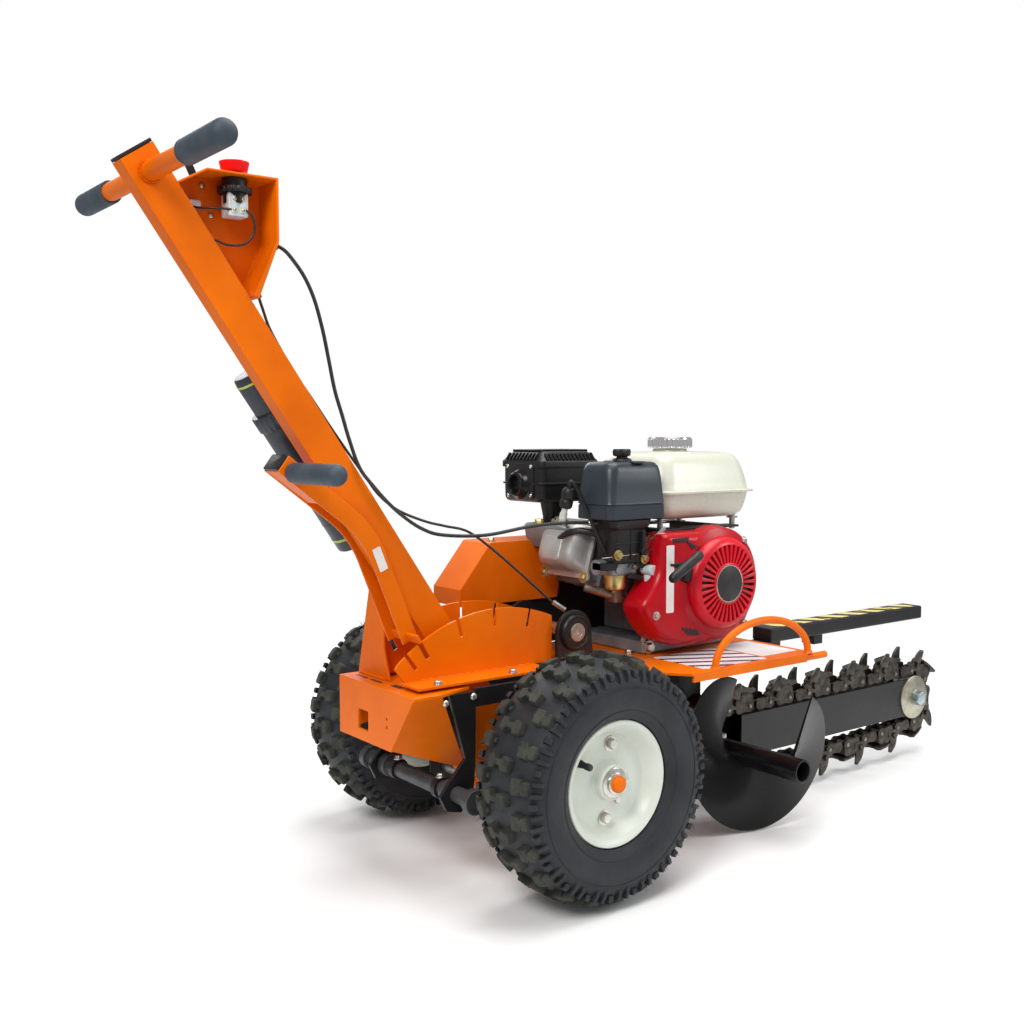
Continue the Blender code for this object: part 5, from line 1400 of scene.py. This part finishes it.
def make_fasteners():
    bolts = []
    for x, y in ((-0.156, -0.083), (-0.02, -0.083), (-0.156, 0.083), (-0.02, 0.083)):
        bolts += bolt((x, y if y < 0 else 0.083, 0.3006), UP, 0.0095)
    piece("quadrant_bolts", bolts, "zinc")
    heads = []
    for x, z in ((-0.108, 0.28), (-0.01, 0.279), (0.15, 0.279), (0.232, 0.279), (0.06, 0.26)):
        for side in (-1, 1):
            heads += dome_bolt((x, side * 0.1032, z), RIGHT if side < 0 else LEFT, 0.0055)
    for side in (-1, 1):
        heads += dome_bolt((-0.16, side * 0.106 if side > 0 else -0.1085,
            0.278), RIGHT if side < 0 else LEFT, 0.005)
    piece("frame_screws", heads, "zinc")
    rows = []
    for x, y in ((0.095, -0.09), (0.095, 0.14), (0.235, 0.205),
            (0.475, 0.205), (0.475, -0.06), (0.24, -0.06)):
        rows += bolt((x, y, DECK_TOP + 0.0002), UP, 0.0105)
    piece("deck_bolts", rows, "zinc")
    lows = []
    for y in (-0.06, 0.06):
        lows += bolt((-0.137, y, 0.1555), UP, 0.009)
    clamp = []
    for y in (-0.066, 0.054):
        ring = [(0.0124, 0.0), (0.0156, 0.0), (0.016, 0.0006),
            (0.016, 0.0114), (0.0156, 0.012), (0.0124, 0.012)]
        clamp.append(turned(ring, (-0.137, y, 0.14), LEFT, 36, looped=True))
    piece("cross_tube_bolts", lows, "zinc")
    piece("cross_tube_clamps", clamp, "black", bevel=0.0006)
    covers = []
    for x, z in ((0.02, 0.395), (0.44, 0.395), (0.44, 0.43)):
        covers += bolt((x, 0.1674, z), LEFT, 0.01)
    for x in (0.08, 0.24, 0.4):
        covers += bolt((x, 0.11, 0.4812), UP, 0.009)
    piece("belt_cover_bolts", covers, "zinc")


def make_labels():
    """Plain and striped stickers with rounded corners on the deck."""
    striped_label = rounded_box((0.246, -0.228), (0.392, -0.11),
        [(0.0, 0.0, 0.006), (0.0005, 0.0, 0.006)], Matrix.Translation((0, 0, DECK_TOP + 0.0001)))
    piece("deck_label_striped", [striped_label], "strip")
    plain = rounded_box((0.398, -0.212), (0.486, -0.102),
        [(0.0, 0.0, 0.005), (0.0005, 0.0, 0.005)], Matrix.Translation((0, 0, DECK_TOP + 0.0001)))
    piece("deck_label_plain", [plain], "pale")


def make_welds():
    beads = []
    for side in (-1, 1):
        y = side * 0.0465
        beads.append(weld_bead([(-0.16, y * 0.98, 0.3008), (-0.1, y * 0.98, 0.3008),
            (-0.04, y * 0.98, 0.3008), (0.04, y * 0.98, 0.3008)], 0.002))
    beads.append(weld_bead([(-0.1825, 0.02, 0.2935),
        (-0.1825, 0.06, 0.2935), (-0.1825, 0.096, 0.2935)], 0.0018))
    piece("chassis_welds", beads, "orange", sharp=60)
    # The tab's slots are thin black pads on the tub: painted shade in place of the openings.
    slots = []
    for y in (0.018, 0.06):
        slots.append(pillow((-0.1985, y - 0.009, 0.2915), (-0.1925, y + 0.024, 0.2923), 0.0003, 0.0016))
    slots.append(pillow((-0.196, -0.042, 0.2915), (-0.186, -0.015, 0.2923), 0.0003, 0.002))
    piece("tub_tab_slot_shade_pads", slots, "cable")


# --- Mast, controls and cables ---


def make_mast():
    beads = []
    axis = on_mast(0, 0, HANDLEBAR_UP)
    for side in (-1, 1):
        ring = []
        for step in range(17):
            angle = math.tau * step / 16
            ring.append(axis + Vector((0.013 * math.cos(angle), side * 0.0158, 0.013 * math.sin(angle))))
        beads.append(weld_bead(ring, 0.0024))
    piece("handlebar_welds", beads, "orange", body="mast", sharp=60)
    for name, side in (("right", -1.0), ("left", 1.0)):
        profile = [(0.013, 0.1362), (0.015, 0.1362), (0.0158, 0.1375), (0.0158, 0.141),
            (0.0154, 0.1425), (0.0158, 0.144), (0.0158, 0.244)]
        for step in range(1, 9):
            angle = math.radians(90 * step / 8)
            profile.append((0.0158 * math.cos(angle * 0.98) if step < 8
                else 0.0, 0.244 + 0.012 * math.sin(angle)))
        profile += [(0.0, 0.251), (0.013, 0.251)]
        grip = turned(profile, Vector((axis.x, 0, axis.z)), LEFT * side, 48, looped=True)
        piece(f"foam_grip_{name}", [grip], "grip", (f"handlebar_grip_{name}",), body="mast", sharp=50)
    make_control_box_details()
    make_stop_switch()
    make_canister()
    make_lock_lever()


def make_control_box_details():
    """Screws on the bracket's wall, and the stop switch's wires."""
    screws = []
    for x, z in ((-0.478, 0.976), (-0.452, 0.99), (-0.462, 0.956), (-0.44, 0.952), (-0.42, 0.892)):
        screws += dome_bolt((x, 0.0319, z), RIGHT, 0.0042)
        screws += bolt((x, 0.0351, z), LEFT, 0.007)
    piece("bracket_screws", screws, "zinc", body="mast")
    clip = pillow((-0.476, 0.018, 0.96), (-0.458, 0.0318, 0.968), 0.002, 0.003)
    piece("bracket_clip", [clip], "grey", body="mast")
    loop = smooth([(STOP_X + 0.01, STOP_Y - 0.013, 0.957), (STOP_X + 0.019, STOP_Y - 0.016, 0.948),
        (STOP_X + 0.021, STOP_Y - 0.013, 0.928), (STOP_X + 0.008, STOP_Y - 0.008, 0.913),
        (STOP_X - 0.012, STOP_Y - 0.002, 0.911), (STOP_X - 0.024, STOP_Y + 0.004,
        0.916), (STOP_X - 0.03, STOP_Y + 0.01, 0.918)], 10)
    lead = smooth([(STOP_X - 0.01, STOP_Y - 0.012, 0.956), (STOP_X - 0.028, STOP_Y - 0.01, 0.956),
        (STOP_X - 0.044, STOP_Y + 0.002, 0.956), (STOP_X - 0.058, STOP_Y + 0.016, 0.959)], 10)
    piece("stop_switch_wires", [tube(loop, 0.0017), tube(lead, 0.0017)], "cable", body="mast")


def make_stop_switch():
    """Emergency stop: flared button over its collar, with its nut and contact block below the sheet."""
    def at(z):
        return (STOP_X, STOP_Y, z)

    button = [(0.0, 1.0068), (0.0165, 1.0068), (0.0172, 1.0078), (0.0192, 1.0165),
        (0.0199, 1.019), (0.0198, 1.0202), (0.0188, 1.0205), (0.01, 1.02), (0.0, 1.0198)]
    piece("stop_button_cap", [turned(button, (STOP_X, STOP_Y, 0), UP, 64)], "button",
        ("stop_button",), body="stop_button_body", sharp=35)
    stem = rod(at(0.995), at(1.0062), 0.01, 40)
    piece("stop_button_stem", [stem], "moulded", body="stop_button_body")
    housing = [(0.0, 0.9655), (0.015, 0.9655), (0.015, 0.976), (0.0165, 0.9765), (0.0165, 0.985),
        (0.0158, 0.9855), (0.0165, 0.986), (0.0165, 0.998), (0.0112, 0.9984), (0.0112, 1.0026)]
    body = turned([*housing, (0.0, 1.0026)], (STOP_X, STOP_Y, 0), UP, 48)

    def teeth(angle, radius, distance):
        return 0.03 * math.tanh(3 * math.sin(angle * 18)) if radius > 0.021 else 0.0

    nut = turned([(0.012, 0.979), (0.0218, 0.979), (0.0222, 0.9797), (0.0222, 0.9862), (0.0218, 0.9868),
        (0.012, 0.9868)], (STOP_X, STOP_Y, 0), UP, 144, looped=True, lobes=teeth)
    piece("stop_switch_collar", [body, nut], "moulded", ("stop_switch_body",), body="mast", sharp=40)
    block = [pillow((STOP_X - 0.0138, STOP_Y - 0.0128, 0.948),
        (STOP_X + 0.0138, STOP_Y + 0.0128, 0.9785), 0.0012, 0.0018)]
    block.append(pillow((STOP_X - 0.01, STOP_Y - 0.0142, 0.952),
        (STOP_X - 0.002, STOP_Y - 0.012, 0.974), 0.0006, 0.001))
    block.append(pillow((STOP_X + 0.002, STOP_Y - 0.0142, 0.952),
        (STOP_X + 0.01, STOP_Y - 0.012, 0.974), 0.0006, 0.001))
    piece("stop_contact_block", block, "grey", body="mast", sharp=50)
    screws = []
    for x in (-0.006, 0.006):
        for z in (0.956, 0.97):
            screws += dome_bolt((STOP_X + x, STOP_Y - 0.0141, z), RIGHT, 0.0026)
    piece("stop_contact_screws", screws, "golden", body="mast")


def make_canister():
    """Document tube: screw cap, ribbed collar and its lower body, on two saddles."""
    across, y = -0.004, 0.056
    def at(up):
        return on_mast(across, y, up)

    body = [(0.0, 0.424), (0.029, 0.424), (0.0308, 0.4258), (0.031, 0.43), (0.031, 0.638), (0.0, 0.638)]
    cap = [(0.0, 0.6605), (0.026, 0.6605), (0.0262, 0.712),
        (0.0255, 0.7185), (0.0235, 0.7215), (0.0, 0.722)]

    def ribs(angle, radius, distance):
        return 0.012 * math.tanh(3 * math.sin(angle * 24)) if radius > 0.0325 else 0.0

    collar = [(0.0, 0.6375), (0.0322, 0.6375), (0.0332, 0.639),
        (0.0332, 0.66), (0.0322, 0.6615), (0.0, 0.6615)]
    base = on_mast(across, y, 0)
    tube_mesh = turned(body, base, MAST_UP, 56)
    cap_mesh = turned(cap, base, MAST_UP, 56)
    collar_mesh = turned(collar, base, MAST_UP, 192, lobes=ribs)
    grooves = []
    for up in (0.47, 0.56, 0.596):
        grooves.append(turned([(0.03, up), (0.0314, up + 0.001), (0.0314, up + 0.004),
            (0.03, up + 0.005)], base, MAST_UP, 56, looped=True))
    saddles = []
    frame_matrix = mast_matrix()
    for up in (0.6, 0.68):
        saddles.append(box((-0.012, 0.0156, up), (0.008, 0.04, up + 0.018), frame_matrix))
    piece("document_tube", [tube_mesh, cap_mesh, collar_mesh, *grooves, *saddles],
        "slate", ("manual_canister",), body="mast", sharp=40)
    mark = turned([(0.0262, 0.0), (0.0267, 0.0), (0.0267, 0.003),
        (0.0262, 0.003)], at(0.708), MAST_UP, 56, looped=True)
    low_mark = turned([(0.031, 0.0), (0.0315, 0.0), (0.0315, 0.004),
        (0.031, 0.004)], at(0.442), MAST_UP, 56, looped=True)
    mid_mark = turned([(0.031, 0.0), (0.0315, 0.0), (0.0315, 0.004),
        (0.031, 0.004)], at(0.506), MAST_UP, 56, looped=True)
    piece("document_tube_marks", [mark, low_mark, mid_mark], "marker", body="mast")


def lever_line():
    """The lock lever's centre line, with its bend rounded."""
    start, knee, end = Vector((-0.164, 0, 0.356)), Vector((-0.231, 0, 0.519)), Vector((-0.365, 0, 0.6212))
    before = knee + (start - knee).normalized() * 0.045
    after = knee + (end - knee).normalized() * 0.045
    points = [start]
    for step in range(13):
        share = step / 12
        points.append(before * (1 - share) ** 2 + knee * (2 * share * (1 - share)) + after * share ** 2)
    return points + [end]


def strip_outline(points, width):
    left, right = [], []
    for index, point in enumerate(points):
        before, after = points[max(index - 1, 0)], points[min(index + 1, len(points) - 1)]
        along = (after - before).normalized()
        normal = Vector((-along.z, 0, along.x)) * (width / 2)
        left.append((point.x + normal.x, point.z + normal.z))
        right.append((point.x - normal.x, point.z - normal.z))
    return left + right[::-1]


def make_lock_lever():
    """Fabricated lever: two cheeks beside the mast, a web along the bent arm, and its cross tooth."""
    line = lever_line()
    outline = strip_outline(line, 0.027)
    meshes = [plate(outline, "xz", -0.0205, 0.004), plate(outline, "xz", 0.0205, 0.004)]
    arm = [Vector((-0.301, 0, 0.5742)), Vector((-0.3642, 0, 0.6206))]
    meshes.append(plate(strip_outline(arm, 0.0262), "xz", 0.0, 0.043))
    slot = math.radians(90.0 + 30.9)
    radial = Vector((math.cos(slot), 0, math.sin(slot)))
    turn = Matrix((Vector((-radial.z, 0, radial.x)), LEFT, radial)).transposed().to_4x4()
    tooth_mesh = box((-0.0025, -0.0515, 0.2778), (0.0025, 0.0515, 0.292), Matrix.Translation(PIVOT) @ turn)
    piece("lock_lever_frame", [*meshes, tooth_mesh], "orange",
        ("lock_lever",), body="lock_lever_body", bevel=0.001)
    way = (line[-1] - line[-2]).normalized()
    end = line[-1] - way * 0.0006
    plug = rounded_box((-0.0125, -0.021), (0.0125, 0.021),
        [(0.0, 0.0, 0.002), (0.004, 0.0, 0.002), (0.0046, 0.0008, 0.002)], lever_end_matrix(end, way))
    piece("lock_lever_plug", [plug], "moulded", body="lock_lever_body")
    profile = [(0.0, 0.023), (0.0125, 0.023), (0.0142, 0.024), (0.0145, 0.026), (0.0145, 0.144)]
    for step in range(1, 9):
        angle = math.radians(90 * step / 8)
        profile.append((0.0145 * math.cos(angle) if step < 8 else 0.0, 0.144 + 0.012 * math.sin(angle)))
    grip = turned(profile, Vector((-0.35, 0, 0.608)), RIGHT, 48)
    piece("lock_lever_handle", [grip], "grip", ("lock_lever_grip",), body="lock_lever_body", sharp=50)
    label = rounded_box((-0.007, -0.018), (0.007, 0.018),
        [(0.0, 0.0, 0.0015), (0.0005, 0.0, 0.0015)], label_matrix())
    piece("lock_lever_label", [label], "pale", body="lock_lever_body")


def lever_end_matrix(point, way):
    across = LEFT
    side = across.cross(way).normalized()
    turn = Matrix((side, across, way)).transposed().to_4x4()
    return Matrix.Translation(point) @ turn


def label_matrix():
    along = (Vector((-0.231, 0, 0.519)) - Vector((-0.164, 0, 0.356))).normalized()
    spot = Vector((-0.164, -0.02255, 0.356)) + along * 0.135
    turn = Matrix((along.cross(RIGHT).normalized(), along, RIGHT)).transposed().to_4x4()
    return Matrix.Translation(spot) @ turn


THROTTLE_CABLE = [(-0.364, 0.01, 0.921), (-0.35, 0.0, 0.912), (-0.335, 0.0, 0.898), (-0.318, 0.0, 0.876),
    (-0.304, 0.0, 0.847), (-0.292, 0.0, 0.807), (-0.283, 0.0, 0.766), (-0.276, -0.004, 0.723),
    (-0.268, -0.01, 0.688), (-0.259, -0.014, 0.653), (-0.246, -0.02, 0.613), (-0.226, -0.025, 0.586),
    (-0.205, -0.028, 0.563), (-0.182, -0.033, 0.542), (-0.154, -0.04, 0.523), (-0.123, -0.048, 0.513),
    (-0.055, -0.06, 0.51), (0.03, -0.066, 0.52), (0.095, -0.068, 0.522), (0.158, -0.07, 0.519),]
CLUTCH_CABLE = [(-0.388, 0.006, 0.856), (-0.379, 0.006, 0.83), (-0.368, 0.004, 0.8), (-0.339, 0.0, 0.75),
    (-0.306, 0.0, 0.705), (-0.271, -0.002, 0.656), (-0.234, -0.012, 0.602), (-0.213, -0.02, 0.572),
    (-0.185, -0.026, 0.55), (-0.142, -0.028, 0.533), (-0.105, -0.026, 0.524), (-0.06, -0.022, 0.513),
    (-0.015, -0.025, 0.483), (0.038, -0.035, 0.438), (0.083, -0.045, 0.398), (0.1, -0.054, 0.385),]


def make_cables():
    """The two control cables. Their sheaths stay fixed in place; the ferrules at their upper ends ride with
    the mast and those at their lower ends with the chassis.
    """
    for name, route, radius, node in (("throttle_cable_sheath", THROTTLE_CABLE, 0.0027,
            "throttle_cable"), ("clutch_cable_sheath", CLUTCH_CABLE, 0.002, "clutch_cable"),):
        sheath = piece(name, [tube(smooth(route, 8), radius)], "cable", (node,), body="mast", ride=False)
        bpy.context.view_layer.update()
        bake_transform(sheath)
    collars = []
    for point, way in ((THROTTLE_CABLE[0], (0.8, -0.3, -0.5)), (CLUTCH_CABLE[0], (0.3, 0.0, -0.9))):
        collars.append(rod(Vector(point) - Vector(way).normalized() * 0.004,
            Vector(point) + Vector(way).normalized() * 0.012, 0.0042, 20))
    piece("cable_end_ferrules", collars, "cable", body="mast")
    low = []
    for route in (THROTTLE_CABLE, CLUTCH_CABLE):
        end = Vector(route[-1])
        way = (end - Vector(route[-2])).normalized()
        low.append(rod(end - way * 0.018, end + way * 0.006, 0.0042, 20))
    piece("cable_lower_ferrules", low, "zinc")


# --- Camera, light and floor ---


LENS = 39.965
CAMERA_PLACE = (-1.0504 - MIDDLE_X, -1.4396, 0.6578)
CAMERA_TILT, CAMERA_HEADING = 86.2, -37.163


def make_camera():
    data = bpy.data.cameras.new("camera")
    data.lens = LENS
    data.sensor_width = 36.0
    camera = bpy.data.objects.new("camera", data)
    bpy.context.scene.collection.objects.link(camera)
    camera.location = CAMERA_PLACE
    camera.rotation_euler = (math.radians(CAMERA_TILT), 0.0, math.radians(CAMERA_HEADING))
    bpy.context.scene.camera = camera
    bpy.context.scene.view_settings.view_transform = "Standard"


def area_light(name, place, target, size, power, colour):
    data = bpy.data.lights.new(name, "AREA")
    data.shape = "RECTANGLE"
    data.size, data.size_y = size
    data.energy = power
    data.color = colour
    lamp = bpy.data.objects.new(name, data)
    bpy.context.scene.collection.objects.link(lamp)
    lamp.location = place
    lamp.rotation_euler = (Vector(target) - Vector(place)).to_track_quat("-Z", "Y").to_euler()


ROOM_LIGHT = 0.38
# Name, place, target, size, power and colour.
LAMPS = (
    ("key", (-2.6, -1.4, 2.7), (0, 0, 0.4), (1.3, 1.3), 75.0, (1.0, 0.99, 0.97)),
    ("overhead", (0.3, -0.2, 3.0), (0, 0, 0.2), (2.6, 1.8), 70.0, (1.0, 1.0, 1.0)),
    ("side", (2.4, -2.4, 1.9), (0.2, 0, 0.3), (0.8, 1.4), 34.0, (0.97, 0.985, 1.0)),
    ("rim", (0.6, 3.0, 2.2), (0, 0, 0.4), (2.0, 1.4), 34.0, (1.0, 1.0, 1.0)),
)
FLOOR_SOLID, FLOOR_GONE = 1.0, 2.3


def make_stage():
    """White surroundings, four soft lights and a pale floor that fades out away from the machine."""
    world = bpy.data.worlds.new("studio")
    bpy.context.scene.world = world
    world.use_nodes = True
    tree = world.node_tree
    background = tree.nodes["Background"]
    background.inputs["Color"].default_value = (1.0, 1.0, 1.0, 1.0)
    sight = tree.nodes.new("ShaderNodeLightPath").outputs["Is Camera Ray"]
    tree.links.new(spread(tree, sight, ROOM_LIGHT, 1.0), background.inputs["Strength"])
    for lamp in LAMPS:
        area_light(*lamp)
    floor_mesh = bpy.data.meshes.new("floor")
    bm = bmesh.new()
    bmesh.ops.create_grid(bm, x_segments=2, y_segments=2, size=14.0)
    bm.to_mesh(floor_mesh)
    bm.free()
    made, tree, shader = new_material("floor_white")
    shader.inputs["Base Color"].default_value = (0.93, 0.93, 0.93, 1.0)
    shader.inputs["Roughness"].default_value = 0.8
    shader.inputs["Specular IOR Level"].default_value = 0.2
    reach = tree.nodes.new("ShaderNodeVectorMath")
    reach.operation = "LENGTH"
    tree.links.new(coordinates(tree), reach.inputs[0])
    fade = tree.nodes.new("ShaderNodeMapRange")
    fade.interpolation_type = "SMOOTHSTEP"
    for socket, value in (("From Min", FLOOR_SOLID),
            ("From Max", FLOOR_GONE), ("To Min", 1.0), ("To Max", 0.0)):
        fade.inputs[socket].default_value = value
    tree.links.new(reach.outputs["Value"], fade.inputs["Value"])
    tree.links.new(fade.outputs["Result"], shader.inputs["Alpha"])
    floor_mesh.materials.append(made)
    floor = bpy.data.objects.new("floor", floor_mesh)
    bpy.context.scene.collection.objects.link(floor)
    floor.location.z = -0.0005


make_camera()
make_stage()
for finish, edge, shown in CARRIED_OVER:
    for node_name in shown:
        carried_over(node_name, finish, edge)
make_cables()
make_wheels()
make_chassis()
make_boom()
make_digging_chain()
make_final_chain()
make_auger()
make_engine()
make_mast()
